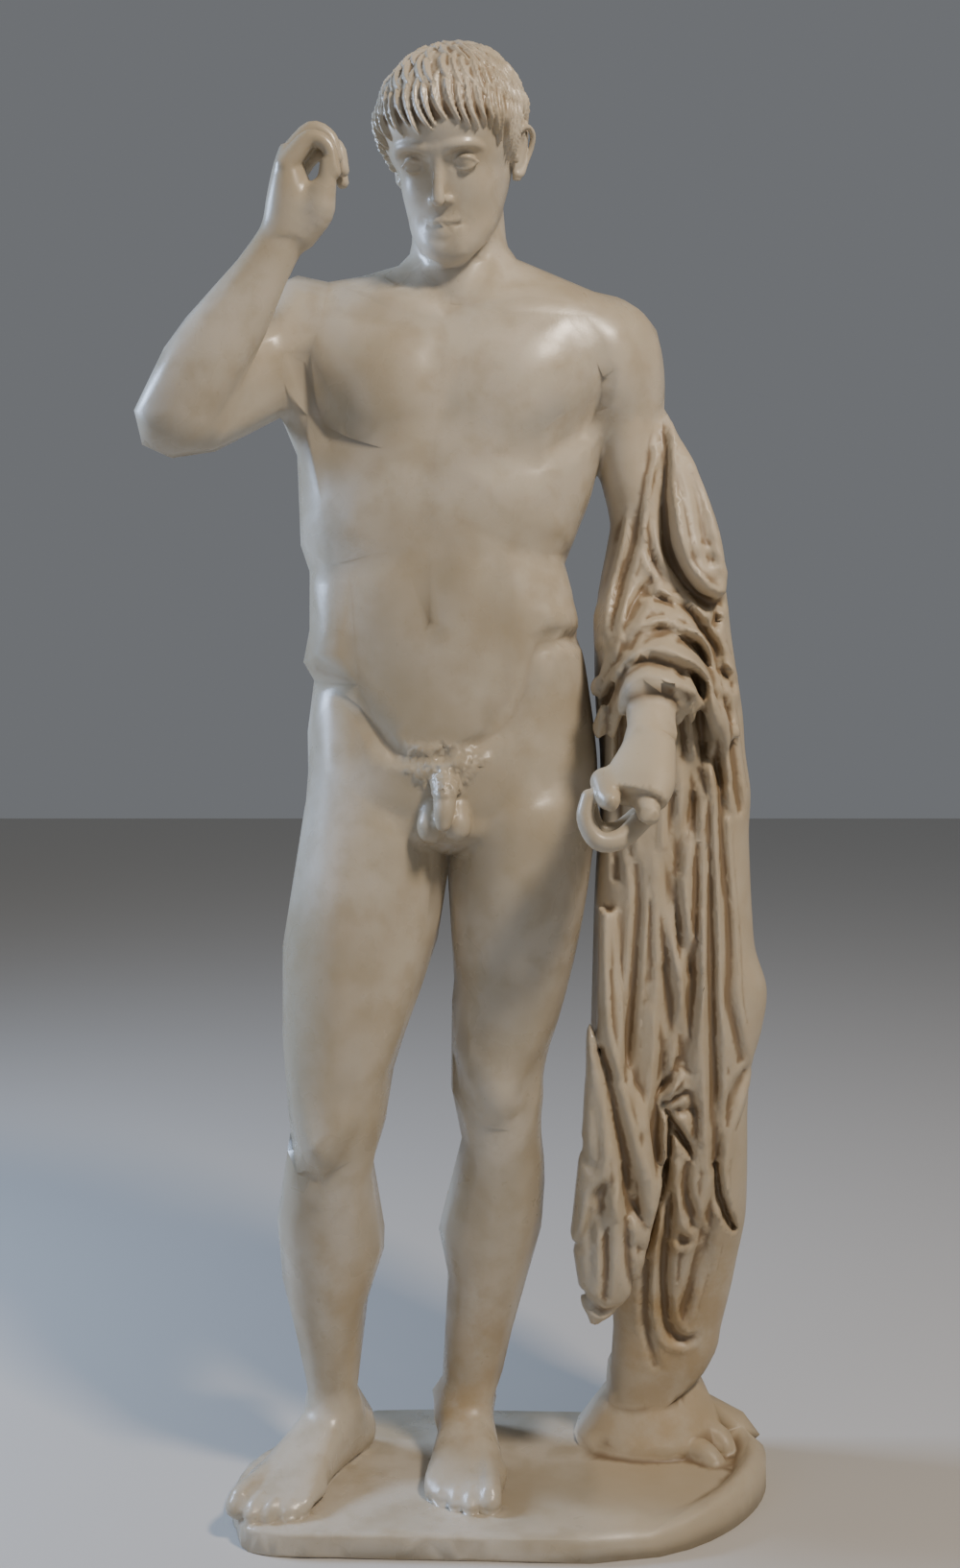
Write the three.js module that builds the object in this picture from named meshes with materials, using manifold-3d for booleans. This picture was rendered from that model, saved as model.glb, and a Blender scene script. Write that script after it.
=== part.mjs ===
// A life-size marble statue of a standing nude youth, carved from one block together with the cloak
// that hangs from the left arm, the tortoise that the cloak falls on, and a thin oval plinth.
// Millimetres, +Z up. The figure faces -Y, and +X is on its left, the side of the cloak.
// The origin is the middle of the plinth's underside.

import * as THREE from "three";
import { mergeVertices } from "three/addons/utils/BufferGeometryUtils.js";
import Module from "manifold-3d";

const wasm = await Module();
wasm.setup();

// Driving dimensions.
const FIGURE = 1735; // soles to the top of the bowed head
const PLINTH = 30; // thickness of the plinth under the soles
// The sizes below are drawn for a figure of 1735, with its soles at height 45.
const DRAWN_FIGURE = 1735;
const SOLES = 45;
const SCALE = FIGURE / DRAWN_FIGURE;

// ---------------------------------------------------------------------------------------------
// Tools: every limb is a stack of egg-shaped sections, and its relief is pressed in afterwards.
// ---------------------------------------------------------------------------------------------

// Rows of numbers read between the rows, on a Catmull-Rom curve.
function between(rows, s) {
  const last = rows.length - 1;
  const i = Math.min(Math.floor(s), last - 1);
  const t = s - i;
  const at = (k) => rows[Math.max(0, Math.min(last, k))];
  return rows[i].map((_, c) => {
    const [a, b, d, e] = [at(i - 1)[c], at(i)[c], at(i + 1)[c], at(i + 2)[c]];
    return b + 0.5 * t * (d - a + t * (2 * a - 5 * b + 4 * d - e + t * (3 * (b - d) + e - a)));
  });
}

// A place whose +Z runs from one point to another and whose +Y is as near as can be to back.
function along(from, to, back = [0, 1, 0]) {
  const z = new THREE.Vector3(...to).sub(new THREE.Vector3(...from)).normalize();
  const x = new THREE.Vector3(...back).cross(z).normalize();
  const y = z.clone().cross(x);
  return new THREE.Matrix4().makeBasis(x, y, z).setPosition(...from);
}

// A closed form from rows [height, left, right, front, back], each an egg-shaped section.
// crowd above 0 draws the sides together on the front, where the carving is finest.
function form(rows, { sides, place, square = 2.3, crowd = 0 }) {
  const shape = new THREE.CylinderGeometry(1, 1, 1, sides, rows.length - 1);
  const p = shape.getAttribute("position");
  for (let i = 0; i < p.count; i++) {
    const [h, left, right, front, back] = rows[Math.round((p.getY(i) + 0.5) * (rows.length - 1))];
    const reach = Math.hypot(p.getX(i), p.getZ(i));
    const turn = Math.atan2(p.getZ(i), p.getX(i));
    const angle = turn - crowd * Math.cos(turn);
    const [c, s] = [Math.cos(angle), Math.sin(angle)];
    const even = reach / (Math.abs(c) ** square + Math.abs(s) ** square) ** (1 / square);
    p.setXYZ(
      i,
      (left + right) / 2 + ((right - left) / 2) * c * even,
      (front + back) / 2 + ((front - back) / 2) * s * even,
      h,
    );
  }
  return place ? shape.applyMatrix4(place) : shape;
}

// A chain of tapering links through [x, y, z, radius] knots, for fingers, toes and rolls of cloth.
function roll(knots, { sides = 8, up = [0, 0, 1] } = {}) {
  const steps = knots.length - 1;
  const shape = new THREE.CylinderGeometry(1, 1, 1, sides, steps + 2);
  const p = shape.getAttribute("position");
  const point = (s) => between(knots, Math.max(0, Math.min(knots.length - 1, s)));
  const here = new THREE.Vector3();
  for (let i = 0; i < p.count; i++) {
    const ring = Math.round((p.getY(i) + 0.5) * (steps + 2));
    const end = ring === 0 ? -1 : ring === steps + 2 ? 1 : 0;
    const s = Math.max(0, Math.min(steps, ring - 1));
    const [x, y, z, r] = point(s);
    const ahead = new THREE.Vector3(...point(s + 0.2)).sub(new THREE.Vector3(...point(s - 0.2)));
    ahead.normalize();
    const side = ahead.clone().cross(new THREE.Vector3(...up)).normalize();
    const lift = side.clone().cross(ahead);
    const width = end ? r * 0.55 : r;
    here.set(x, y, z).addScaledVector(ahead, end * r * 0.6);
    here.addScaledVector(side, p.getX(i) * width).addScaledVector(lift, p.getZ(i) * width);
    p.setXYZ(i, here.x, here.y, here.z);
  }
  return shape;
}

const bell = (q) => (q < 1 ? (1 - q * q) ** 2 : 0);

// How far a point is from a line drawn through points.
function nearLine(p, line) {
  let best = Infinity;
  const [a, b] = [new THREE.Vector3(), new THREE.Vector3()];
  const close = new THREE.Vector3();
  for (let i = 0; i + 1 < line.length; i++) {
    const edge = new THREE.Line3(a.fromArray(line[i]), b.fromArray(line[i + 1]));
    best = Math.min(best, edge.closestPointToPoint(p, true, close).distanceTo(p));
  }
  return best;
}

// Swells (push > 0) or hollows (push < 0) a shape round points, {at, size, push}, or along lines,
// {line, width, push}.
function press(shape, touches) {
  const g = weld(shape);
  g.computeVertexNormals();
  const [p, n] = [g.getAttribute("position"), g.getAttribute("normal")];
  const [here, out] = [new THREE.Vector3(), new THREE.Vector3()];
  for (let i = 0; i < p.count; i++) {
    here.fromBufferAttribute(p, i);
    let rise = 0;
    for (const { at, size, line, width, push } of touches) {
      const q = line
        ? nearLine(here, line) / width
        : Math.hypot(...size.map((s, k) => (here.getComponent(k) - at[k]) / s));
      rise += push * bell(q);
    }
    here.addScaledVector(out.fromBufferAttribute(n, i), rise);
    p.setXYZ(i, here.x, here.y, here.z);
  }
  return g;
}

function weld(shape) {
  const g = shape.clone();
  g.deleteAttribute("normal");
  g.deleteAttribute("uv");
  return mergeVertices(g, 1e-3);
}

function solid(shape) {
  const g = weld(shape);
  const made = new wasm.Manifold(
    new wasm.Mesh({
      numProp: 3,
      vertProperties: new Float32Array(g.attributes.position.array),
      triVerts: new Uint32Array(g.index.array),
    }),
  );
  if (made.volume() > 0) return made;
  throw new Error("a form is inside out");
}

const joined = (shapes) => shapes.map(solid).reduce((a, b) => a.add(b));

// ---------------------------------------------------------------------------------------------
// Torso: pelvis, belly, rib cage and the shoulder girdle across the top.
// ---------------------------------------------------------------------------------------------

function torso() {
  const trunk = form(
    [
      [828, -130, 0, -60, 60],
      [842, -205, 70, -92, 95],
      [929, -238, 121, -112, 128],
      [977, -238, 117, -108, 122],
      [1025, -232, 110, -108, 108],
      [1060, -238, 104, -113, 97],
      [1096, -235, 95, -117, 90],
      [1144, -235, 88, -118, 86],
      [1214, -244, 92, -119, 93],
      [1261, -245, 110, -122, 102],
      [1308, -248, 120, -126, 110],
      [1355, -252, 126, -128, 115],
      [1403, -250, 130, -120, 116],
      [1449, -236, 132, -102, 110],
      [1490, -190, 90, -72, 96],
      [1512, -140, 40, -48, 82],
    ],
    { sides: 24, square: 2.5, crowd: 0.22 },
  );
  const underBreast = [[-236, -70, 1336], [-190, -105, 1320], [-130, -120, 1312], [-84, -122, 1322]];
  const rightGroin = [[-240, -20, 1034], [-205, -85, 1012], [-150, -112, 972], [-66, -116, 948]];
  const leftGroin = [[104, -20, 1084], [66, -82, 1066], [40, -98, 1020], [-8, -112, 968], [-66, -116, 948]];
  const relief = [
    { at: [-150, -112, 1378], size: [92, 70, 66], push: 12 }, // right breast muscle
    { at: [42, -108, 1374], size: [92, 70, 66], push: 12 },
    { line: [[-58, -100, 1470], [-64, -120, 1390], [-74, -124, 1322]], width: 24, push: -8 },
    { line: underBreast, width: 22, push: -8 },
    { line: [[112, -60, 1330], [70, -100, 1312], [10, -120, 1306], [-62, -122, 1320]], width: 22, push: -8 },
    { line: [[-78, -122, 1300], [-82, -122, 1200], [-82, -120, 1120]], width: 22, push: -6 },
    { line: [[-84, -122, 1262], [-140, -112, 1205], [-200, -75, 1175]], width: 26, push: -6 },
    { line: [[-74, -122, 1262], [-20, -112, 1205], [60, -70, 1190]], width: 26, push: -6 },
    { line: [[-150, -108, 1180], [-148, -108, 1080], [-120, -112, 1000]], width: 24, push: -5 },
    { line: [[-10, -110, 1180], [-14, -110, 1090], [-36, -112, 1000]], width: 24, push: -5 },
    { at: [-212, -50, 1085], size: [50, 80, 62], push: 10 }, // the rolls over the hips
    { at: [76, -45, 1118], size: [48, 80, 52], push: 10 },
    { line: rightGroin, width: 24, push: -11 },
    { line: leftGroin, width: 24, push: -11 },
    { at: [-81, -120, 1105], size: [14, 30, 14], push: -9 }, // navel
    { line: [[-60, 118, 1470], [-66, 112, 1300], [-72, 92, 1130], [-66, 112, 1010]], width: 36, push: -12 },
    { at: [-150, 110, 1390], size: [80, 60, 90], push: 12 }, // shoulder blades
    { at: [35, 110, 1385], size: [80, 60, 90], push: 12 },
    { at: [-150, 120, 915], size: [85, 70, 80], push: 20 }, // buttocks
    { at: [25, 120, 930], size: [85, 70, 80], push: 22 },
    { line: [[-64, 130, 990], [-64, 140, 860]], width: 26, push: -22 },
  ];
  const girdle = form(
    [
      [0, 30, 130, -20, 20],
      [22, -15, 150, -60, 55],
      [80, -30, 150, -85, 82],
      [150, -30, 162, -92, 92],
      [210, -30, 184, -88, 92],
      [250, -30, 188, -88, 92],
      [330, -30, 166, -92, 90],
      [390, -30, 140, -88, 84],
      [440, -30, 118, -72, 74],
      [470, 0, 90, -40, 48],
    ].map(([h, low, high, front, back]) => [h, -high, -low, front, back]),
    { sides: 12, place: along([-285, 0, 1372], [185, 0, 1372]), square: 2.2 },
  );
  const collar = [
    { line: [[-75, -75, 1488], [-140, -82, 1500], [-210, -40, 1515]], width: 20, push: 6 }, // collar bones
    { line: [[-42, -75, 1486], [30, -85, 1494], [110, -45, 1500]], width: 20, push: 6 },
    { at: [-59, -88, 1480], size: [24, 40, 26], push: -10 },
  ];
  return [press(trunk, relief), press(girdle, collar)];
}

// ---------------------------------------------------------------------------------------------
// Legs: the left carries the weight, and the right is eased forward with its foot turned out.
// ---------------------------------------------------------------------------------------------

function legs() {
  const free = form(
    [
      [58, -226, -176, -30, 44],
      [100, -242, -180, -52, 42],
      [125, -243, -180, -48, 32],
      [200, -255, -175, -56, 32],
      [250, -265, -168, -68, 42],
      [300, -273, -154, -80, 50],
      [349, -278, -147, -92, 46],
      [395, -273, -150, -106, 26],
      [436, -265, -156, -124, 4],
      [468, -260, -152, -138, -6],
      [500, -259, -142, -142, -2],
      [553, -263, -135, -132, 22],
      [601, -267, -120, -132, 42],
      [649, -268, -101, -130, 56],
      [697, -268, -86, -128, 68],
      [744, -264, -74, -125, 78],
      [860, -246, -62, -112, 96],
      [930, -225, -90, -85, 80],
    ],
    { sides: 14 },
  );
  const underFreeKnee = [[-245, -95, 520], [-236, -120, 455], [-205, -128, 432], [-172, -110, 455]];
  const freeRelief = [
    { at: [-205, -138, 486], size: [34, 40, 36], push: 8 }, // kneecap
    { line: underFreeKnee, width: 22, push: -7 },
    { line: [[-215, -100, 400], [-218, -60, 260], [-212, -45, 150]], width: 26, push: 5 }, // shin bone
    { line: [[-120, -60, 560], [-150, -100, 640]], width: 34, push: 6 },
    { at: [-240, -10, 112], size: [20, 26, 24], push: 6 },
    { at: [-182, -14, 118], size: [20, 26, 24], push: 6 },
  ];
  const firm = form(
    [
      [58, -70, -16, 0, 92],
      [84, -84, -14, -20, 92],
      [108, -82, -10, -24, 78],
      [133, -74, -2, -20, 66],
      [184, -71, 12, -24, 68],
      [235, -69, 26, -30, 77],
      [285, -69, 39, -38, 87],
      [336, -74, 52, -47, 90],
      [386, -66, 57, -55, 80],
      [436, -54, 56, -63, 64],
      [480, -50, 52, -76, 52],
      [521, -58, 54, -92, 50],
      [570, -59, 58, -97, 58],
      [667, -57, 86, -106, 76],
      [716, -60, 97, -110, 83],
      [812, -64, 113, -115, 98],
      [881, -62, 119, -112, 110],
      [940, -40, 110, -80, 90],
    ],
    { sides: 14 },
  );
  const underFirmKnee = [[-50, -60, 560], [-40, -84, 500], [-8, -82, 482], [30, -76, 500], [44, -50, 560]];
  const firmRelief = [
    { at: [-6, -92, 545], size: [32, 40, 38], push: 8 },
    { line: underFirmKnee, width: 22, push: -7 },
    { line: [[-16, -62, 440], [-30, -40, 300], [-36, -24, 160]], width: 26, push: 5 },
    { at: [-78, 30, 112], size: [20, 26, 24], push: 6 },
    { at: [-6, 30, 106], size: [20, 26, 24], push: 6 },
  ];
  return [press(free, freeRelief), press(firm, firmRelief)];
}

function groin() {
  const sac = form(
    [
      [842, -84, -46, -118, -84],
      [852, -94, -34, -132, -80],
      [874, -97, -31, -136, -78],
      [898, -90, -38, -128, -80],
      [918, -80, -48, -118, -84],
    ],
    { sides: 8 },
  );
  const member = roll(
    [[-64, -116, 938, 14], [-61, -132, 916, 14], [-58, -140, 892, 12], [-58, -142, 872, 9]],
    { sides: 8, up: [1, 0, 0] },
  );
  const curls = form(
    [
      [912, -90, -40, -118, -90],
      [926, -108, -24, -123, -88],
      [946, -126, -8, -121, -84],
      [958, -118, -16, -115, -84],
    ],
    { sides: 8 },
  );
  return [sac, member, curls];
}

// A foot along +Z from heel to toes, sole down on the plinth, big toe on the side named by inner.
function foot(heel, toes, inner) {
  const place = along(heel, toes, [0, 0, -1]);
  const flank = ([h, outer, big, top]) =>
    inner > 0 ? [h, -big, outer, -top, 0] : [h, -outer, big, -top, 0];
  const arch = form(
    [
      [0, 10, 10, 28],
      [10, 26, 26, 52],
      [38, 32, 32, 80],
      [78, 34, 32, 88],
      [112, 38, 34, 74],
      [150, 44, 38, 54],
      [185, 47, 42, 40],
      [208, 45, 42, 28],
      [222, 38, 36, 18],
    ].map(flank),
    { sides: 10, place, square: 2.4 },
  );
  const toe = (side, root, tip, r) =>
    roll(
      [[root[0], root[1]], [(root[0] + tip[0]) / 2, root[1] + 2], [tip[0], tip[1]]].map(([h, up], i) => {
        const spread = -side * inner * (1 + 0.04 * i);
        return [...new THREE.Vector3(spread, -up, h).applyMatrix4(place).toArray(), r];
      }),
      { sides: 5 },
    );
  return [
    arch,
    toe(28, [196, 20], [246, 14], 14.5),
    toe(6, [200, 19], [247, 11], 10),
    toe(-10, [194, 17], [238, 10], 9.5),
    toe(-25, [184, 15], [225, 10], 9),
    toe(-38, [172, 14], [210, 9], 8.5),
  ];
}

// ---------------------------------------------------------------------------------------------
// Arms: the left hangs under the cloak with the forearm forward, the right is raised to the head.
// ---------------------------------------------------------------------------------------------

function leftArm() {
  const upper = form(
    [
      [1140, 150, 212, -28, 62],
      [1180, 142, 214, -42, 66],
      [1240, 135, 207, -50, 62],
      [1308, 119, 200, -52, 60],
      [1356, 108, 200, -54, 62],
      [1403, 98, 201, -60, 66],
      [1449, 88, 196, -60, 64],
      [1480, 92, 182, -48, 56],
      [1502, 112, 160, -26, 36],
    ],
    { sides: 12 },
  );
  const forearm = form(
    [
      [0, -36, 36, -40, 40],
      [60, -42, 42, -42, 40],
      [130, -38, 38, -36, 34],
      [200, -31, 31, -27, 25],
      [262, -28, 28, -22, 21],
      [290, -32, 32, -21, 20],
    ],
    { sides: 12, place: along([182, 18, 1160], [166, -192, 962], [0, 0, -1]) },
  );
  return [upper, forearm];
}

function leftHand() {
  const palm = form(
    [
      [0, -28, 28, -21, 20],
      [30, -37, 33, -22, 24],
      [62, -42, 38, -21, 24],
      [88, -40, 38, -16, 20],
    ],
    { sides: 10, place: along([166, -192, 962], [136, -252, 905], [0, 0.4, -1]) },
  );
  const broken = roll([[158, -236, 914, 14], [160, -252, 900, 13.5], [161, -262, 892, 13]], { sides: 8 });
  const thumb = roll([[116, -226, 926, 15], [116, -244, 914, 14], [118, -258, 906, 12]], { sides: 8 });
  const curled = roll(
    [
      [158, -226, 888, 12],
      [132, -240, 866, 11.5],
      [106, -244, 864, 11],
      [92, -240, 888, 10],
      [96, -234, 912, 9],
    ],
    { sides: 6, up: [0, 1, 0] },
  );
  return [palm, broken, thumb, curled];
}

function rightArm() {
  const shoulder = [-232, 8, 1458];
  const elbow = [-378, -132, 1340];
  const wrist = [-246, -150, 1545];
  const upper = form(
    [
      [-20, -30, 30, -34, 34],
      [10, -56, 52, -62, 54],
      [60, -56, 52, -60, 60],
      [120, -48, 46, -52, 60],
      [180, -42, 42, -44, 56],
      [225, -40, 40, -40, 48],
      [252, -30, 30, -28, 32],
    ],
    { sides: 14, place: along(shoulder, elbow, [0, 0, -1]) },
  );
  const forearm = form(
    [
      [-30, -26, 26, -22, 22],
      [-10, -40, 38, -36, 34],
      [40, -48, 44, -42, 42],
      [95, -46, 42, -40, 40],
      [150, -38, 36, -33, 34],
      [205, -29, 28, -25, 28],
      [246, -27, 26, -21, 27],
      [262, -27, 28, -20, 27],
    ],
    { sides: 12, place: along(elbow, wrist) },
  );
  return [upper, forearm];
}

function rightHand() {
  const wrist = [-244, -148, 1540];
  const palm = form(
    [
      [0, -26, 26, -24, 30],
      [30, -26, 34, -30, 36],
      [60, -22, 26, -32, 42],
      [84, -17, 17, -30, 46],
      [98, -12, 12, -24, 42],
    ],
    { sides: 10, place: along(wrist, [-240, -146, 1640]) },
  );
  const heel = roll([[-226, -150, 1545, 16], [-210, -158, 1568, 21], [-206, -162, 1584, 17]], { sides: 8 });
  const thumb = roll([[-204, -164, 1574, 13], [-196, -168, 1596, 11], [-196, -170, 1616, 9.5]], {
    sides: 7,
    up: [0, 1, 0],
  });
  const finger = (back, rise, reach, drop) =>
    roll(
      [
        [-240, -168 + back, 1622 + rise, 13],
        [-214, -171 + back, 1645 + rise, 11],
        [-194 + reach, -171 + back, 1638 + rise, 10],
        [-188 + reach, -171 + back, 1612 + rise + drop, 9],
      ],
      { sides: 5, up: [0, 1, 0] },
    );
  const fingers = [finger(0, -2, 0, 0), finger(24, 14, 0, 6), finger(46, 10, 6, 2), finger(66, 0, 4, 4)];
  return [palm, heel, thumb, ...fingers];
}

// ---------------------------------------------------------------------------------------------
// Head: bowed and turned to the figure's right, with short combed hair. The face is a plain ideal one.
// ---------------------------------------------------------------------------------------------

function neck() {
  return form(
    [
      [1440, -120, 20, -58, 72],
      [1480, -117, 16, -66, 66],
      [1515, -111, 11, -72, 52],
      [1560, -107, 7, -80, 34],
      [1630, -100, 0, -84, 14],
    ],
    { sides: 12 },
  );
}

const HEAD_CENTRE = [-54, -62, 1663.5];
const HEAD_SIZE = 0.955; // scale of the head as it is drawn below
const HEAD_BOW = THREE.MathUtils.degToRad(24);
const HEAD_TURN = THREE.MathUtils.degToRad(-14);

function head() {
  const pose = new THREE.Matrix4()
    .makeTranslation(...HEAD_CENTRE)
    .multiply(new THREE.Matrix4().makeRotationZ(HEAD_TURN))
    .multiply(new THREE.Matrix4().makeRotationX(HEAD_BOW))
    .multiply(new THREE.Matrix4().makeScale(HEAD_SIZE, HEAD_SIZE, HEAD_SIZE));
  // The skull and face, in the head's own frame: eyes at height 0, the face towards -Y.
  const skull = form(
    [
      [-118, -15, 15, -89, -62],
      [-109, -33, 33, -97, -36],
      [-90, -50, 50, -99, -2],
      [-66, -60, 59, -97, 46],
      [-38, -66, 65, -94, 82],
      [-10, -71, 70, -92, 98],
      [18, -74, 74, -95, 105],
      [46, -75, 75, -93, 104],
      [74, -68, 68, -80, 92],
      [96, -50, 50, -56, 68],
      [108, -22, 22, -26, 34],
    ],
    { sides: 18, crowd: 0.25, square: 2.2 },
  );
  const face = [
    { line: [[-30, -92, 2], [-36, -90, 0]], width: 24, push: -9 }, // eye sockets
    { line: [[30, -92, 2], [36, -90, 0]], width: 24, push: -9 },
    { at: [-31, -88, -2], size: [15, 24, 11], push: 8 }, // eyeballs under their lids
    { at: [31, -88, -2], size: [15, 24, 11], push: 8 },
    { line: [[-56, -80, 16], [-30, -96, 22], [-8, -98, 14]], width: 14, push: 5 }, // brows
    { line: [[56, -80, 16], [30, -96, 22], [8, -98, 14]], width: 14, push: 5 },
    { line: [[-22, -100, -70], [0, -104, -66], [22, -100, -70]], width: 12, push: 5 }, // lips
    { line: [[-18, -100, -82], [18, -100, -82]], width: 11, push: 5 },
    { line: [[-25, -100, -76], [25, -100, -76]], width: 7, push: -4 },
    { at: [0, -98, -106], size: [24, 30, 18], push: 7 }, // chin
  ];
  const nose = form(
    [
      [-50, -17, 17, -22, 0],
      [-42, -16, 16, -31, 0],
      [-20, -10, 10, -24, 0],
      [8, -8, 8, -12, 0],
    ].map(([h, l, r, f, b]) => [h, l, r, f - 88, b - 80]),
    { sides: 8 },
  );
  const ear = (side) =>
    form(
      [
        [-32, -7, 7, -8, 6],
        [-20, -11, 11, -14, 12],
        [4, -12, 12, -16, 18],
        [24, -10, 10, -12, 18],
        [32, -5, 5, -4, 10],
      ].map(([h, l, r, f, b]) => [h - 22, l + side * 77, r + side * 77, f + 6, b + 6]),
      { sides: 7 },
    );
  const hair = form(
    [
      [-38, -66, 64, 56, 86],
      [-22, -80, 77, 36, 104],
      [8, -88, 84, 8, 112],
      [34, -93, 88, -60, 113],
      [48, -93, 88, -102, 112],
      [76, -86, 81, -91, 103],
      [98, -66, 61, -66, 80],
      [112, -40, 36, -36, 48],
      [118, -13, 11, -12, 18],
    ],
    { sides: 18, square: 2.2 },
  );
  const locks = [];
  for (let k = 0; k < 17; k++) {
    const a = THREE.MathUtils.degToRad(-90 + (k - 8) * 11);
    const root = [70 * Math.cos(a), 88 * Math.sin(a), 84];
    const tip = [84 * Math.cos(a + 0.12), 104 * Math.sin(a + 0.12), 44];
    locks.push({ line: [root, tip], width: 8, push: 3.5 });
  }
  return [press(skull, face), nose, ear(-1), ear(1), press(hair, locks)].map((g) => g.applyMatrix4(pose));
}

// ---------------------------------------------------------------------------------------------
// Cloak: gathered on the upper arm, slung over the forearm and falling to the tortoise's shell.
// ---------------------------------------------------------------------------------------------

function cloak() {
  const fall = form(
    [
      [100, 140, 262, 6, 112],
      [176, 146, 284, -4, 112],
      [227, 140, 294, -14, 108],
      [278, 132, 304, -30, 106],
      [355, 126, 312, -54, 102],
      [456, 122, 312, -70, 98],
      [556, 118, 314, -80, 96],
      [656, 116, 328, -82, 94],
      [853, 124, 308, -80, 90],
      [927, 125, 304, -80, 88],
      [1000, 121, 297, -84, 88],
      [1121, 119, 276, -80, 84],
      [1193, 133, 256, -60, 80],
      [1265, 141, 232, -52, 74],
      [1330, 158, 212, -44, 62],
      [1372, 188, 208, -10, 34],
    ],
    { sides: 25, crowd: 0.3, square: 2.6 },
  );
  const middle = [[176, -84, 900], [182, -84, 620], [196, -76, 500], [216, -36, 300], [212, 0, 140]];
  const folds = [
    { line: [[128, -84, 1000], [128, -84, 600], [118, -70, 400]], width: 20, push: 8 },
    { line: [[152, -84, 900], [150, -84, 560], [160, -64, 360]], width: 20, push: 9 },
    { line: middle, width: 20, push: 9 },
    { line: [[205, -84, 960], [210, -84, 700], [232, -76, 500], [246, -40, 300]], width: 20, push: 9 },
    { line: [[238, -82, 1000], [240, -84, 700], [258, -76, 500], [266, -30, 280]], width: 20, push: 9 },
    { line: [[268, -78, 1010], [272, -80, 760], [286, -70, 480], [284, 0, 200]], width: 20, push: 9 },
    { line: [[140, -84, 960], [138, -84, 600], [140, -70, 420]], width: 12, push: -10 },
    { line: [[164, -84, 900], [166, -84, 560], [178, -70, 420]], width: 12, push: -10 },
    { line: [[192, -84, 940], [198, -84, 620], [214, -70, 420], [196, 0, 180]], width: 12, push: -10 },
    { line: [[222, -82, 960], [226, -84, 700], [246, -66, 440]], width: 12, push: -10 },
    { line: [[254, -80, 1000], [256, -84, 700], [272, -66, 440], [250, 0, 200]], width: 12, push: -10 },
    { line: [[192, -30, 1366], [150, -56, 1180], [128, -84, 1040]], width: 18, push: 8 },
    { line: [[196, -30, 1366], [176, -58, 1220], [176, -84, 1140]], width: 18, push: 8 },
  ];
  const bundle = form(
    [
      [238, 114, 126, -70, -58],
      [262, 104, 146, -80, -44],
      [300, 96, 168, -88, -20],
      [350, 92, 172, -94, -16],
      [405, 96, 168, -100, -20],
      [470, 102, 162, -102, -40],
      [560, 110, 150, -98, -40],
      [660, 114, 140, -90, -40],
    ],
    { sides: 14, square: 2.4 },
  );
  const bundleFolds = [108, 132, 156].map((x) => ({
    line: [[x, -100, 460], [x + 2, -96, 340], [122 + (x - 122) * 0.5, -76, 262]],
    width: 12,
    push: 7,
  }));
  const pouch = form(
    [
      [1136, 236, 260, -84, -50],
      [1158, 216, 266, -94, -36],
      [1200, 202, 258, -92, -26],
      [1250, 196, 240, -80, -20],
      [1310, 192, 218, -60, -14],
      [1366, 190, 205, -30, -4],
    ],
    { sides: 12 },
  );
  const sling = [1084, 1036].map((z, i) =>
    roll(
      [
        [126, -64 - 26 * i, z - 58, 20],
        [150, -94 - 28 * i, z - 14, 24],
        [186, -110 - 28 * i, z, 26],
        [226, -100 - 20 * i, z - 18, 25],
        [266, -62 - 10 * i, z - 66, 22],
      ],
      { sides: 8, up: [0, 1, 0] },
    ),
  );
  return [press(fall, folds), press(bundle, bundleFolds), pouch, ...sling];
}

// ---------------------------------------------------------------------------------------------
// Tortoise and plinth.
// ---------------------------------------------------------------------------------------------

function tortoise() {
  const shell = form(
    [
      [SOLES - 6, 104, 286, -14, 126],
      [SOLES + 12, 102, 290, -18, 130],
      [SOLES + 28, 112, 288, -12, 124],
      [SOLES + 56, 132, 276, 4, 112],
      [SOLES + 84, 158, 262, 22, 96],
      [SOLES + 100, 190, 250, 44, 78],
    ],
    { sides: 14 },
  );
  const hindFoot = roll([[252, 2, SOLES + 10, 17], [268, -16, SOLES + 8, 15]], { sides: 6 });
  const frontFoot = roll([[272, 24, SOLES + 22, 18], [290, 12, SOLES + 16, 15]], { sides: 6 });
  const beak = roll(
    [[282, 62, SOLES + 26, 22], [304, 58, SOLES + 22, 17], [318, 54, SOLES + 18, 12]],
    { sides: 8 },
  );
  return [shell, hindFoot, frontFoot, beak];
}

// A rounded slab, worn to an uneven oval, with a raised lip round the tortoise's end.
function plinth() {
  const edge = [
    [-308, -176],
    [-262, -198],
    [-176, -202],
    [-62, -206],
    [51, -212],
    [126, -209],
    [216, -184],
    [290, -122],
    [334, -44],
    [336, 28],
    [292, 96],
    [210, 126],
    [120, 130],
    [-113, 136],
    [-196, 118],
    [-266, 62],
    [-318, -20],
    [-328, -112],
  ].map(([x, y]) => new THREE.Vector2(x, y));
  const bevel = 5;
  const slab = new THREE.ExtrudeGeometry(new THREE.Shape(edge), {
    depth: PLINTH - 2 * bevel,
    bevelSize: bevel,
    bevelThickness: bevel,
    bevelOffset: -bevel,
    bevelSegments: 1,
  }).translate(0, 0, SOLES - PLINTH + bevel);
  const lip = roll(
    [
      [206, -170, 34, 12],
      [278, -118, 40, 15],
      [318, -44, 44, 16],
      [320, 26, 46, 16],
      [284, 86, 42, 14],
      [226, 110, 34, 11],
    ],
    { sides: 6 },
  );
  return [slab, lip];
}

// ---------------------------------------------------------------------------------------------
// One block of marble.
// ---------------------------------------------------------------------------------------------

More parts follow.
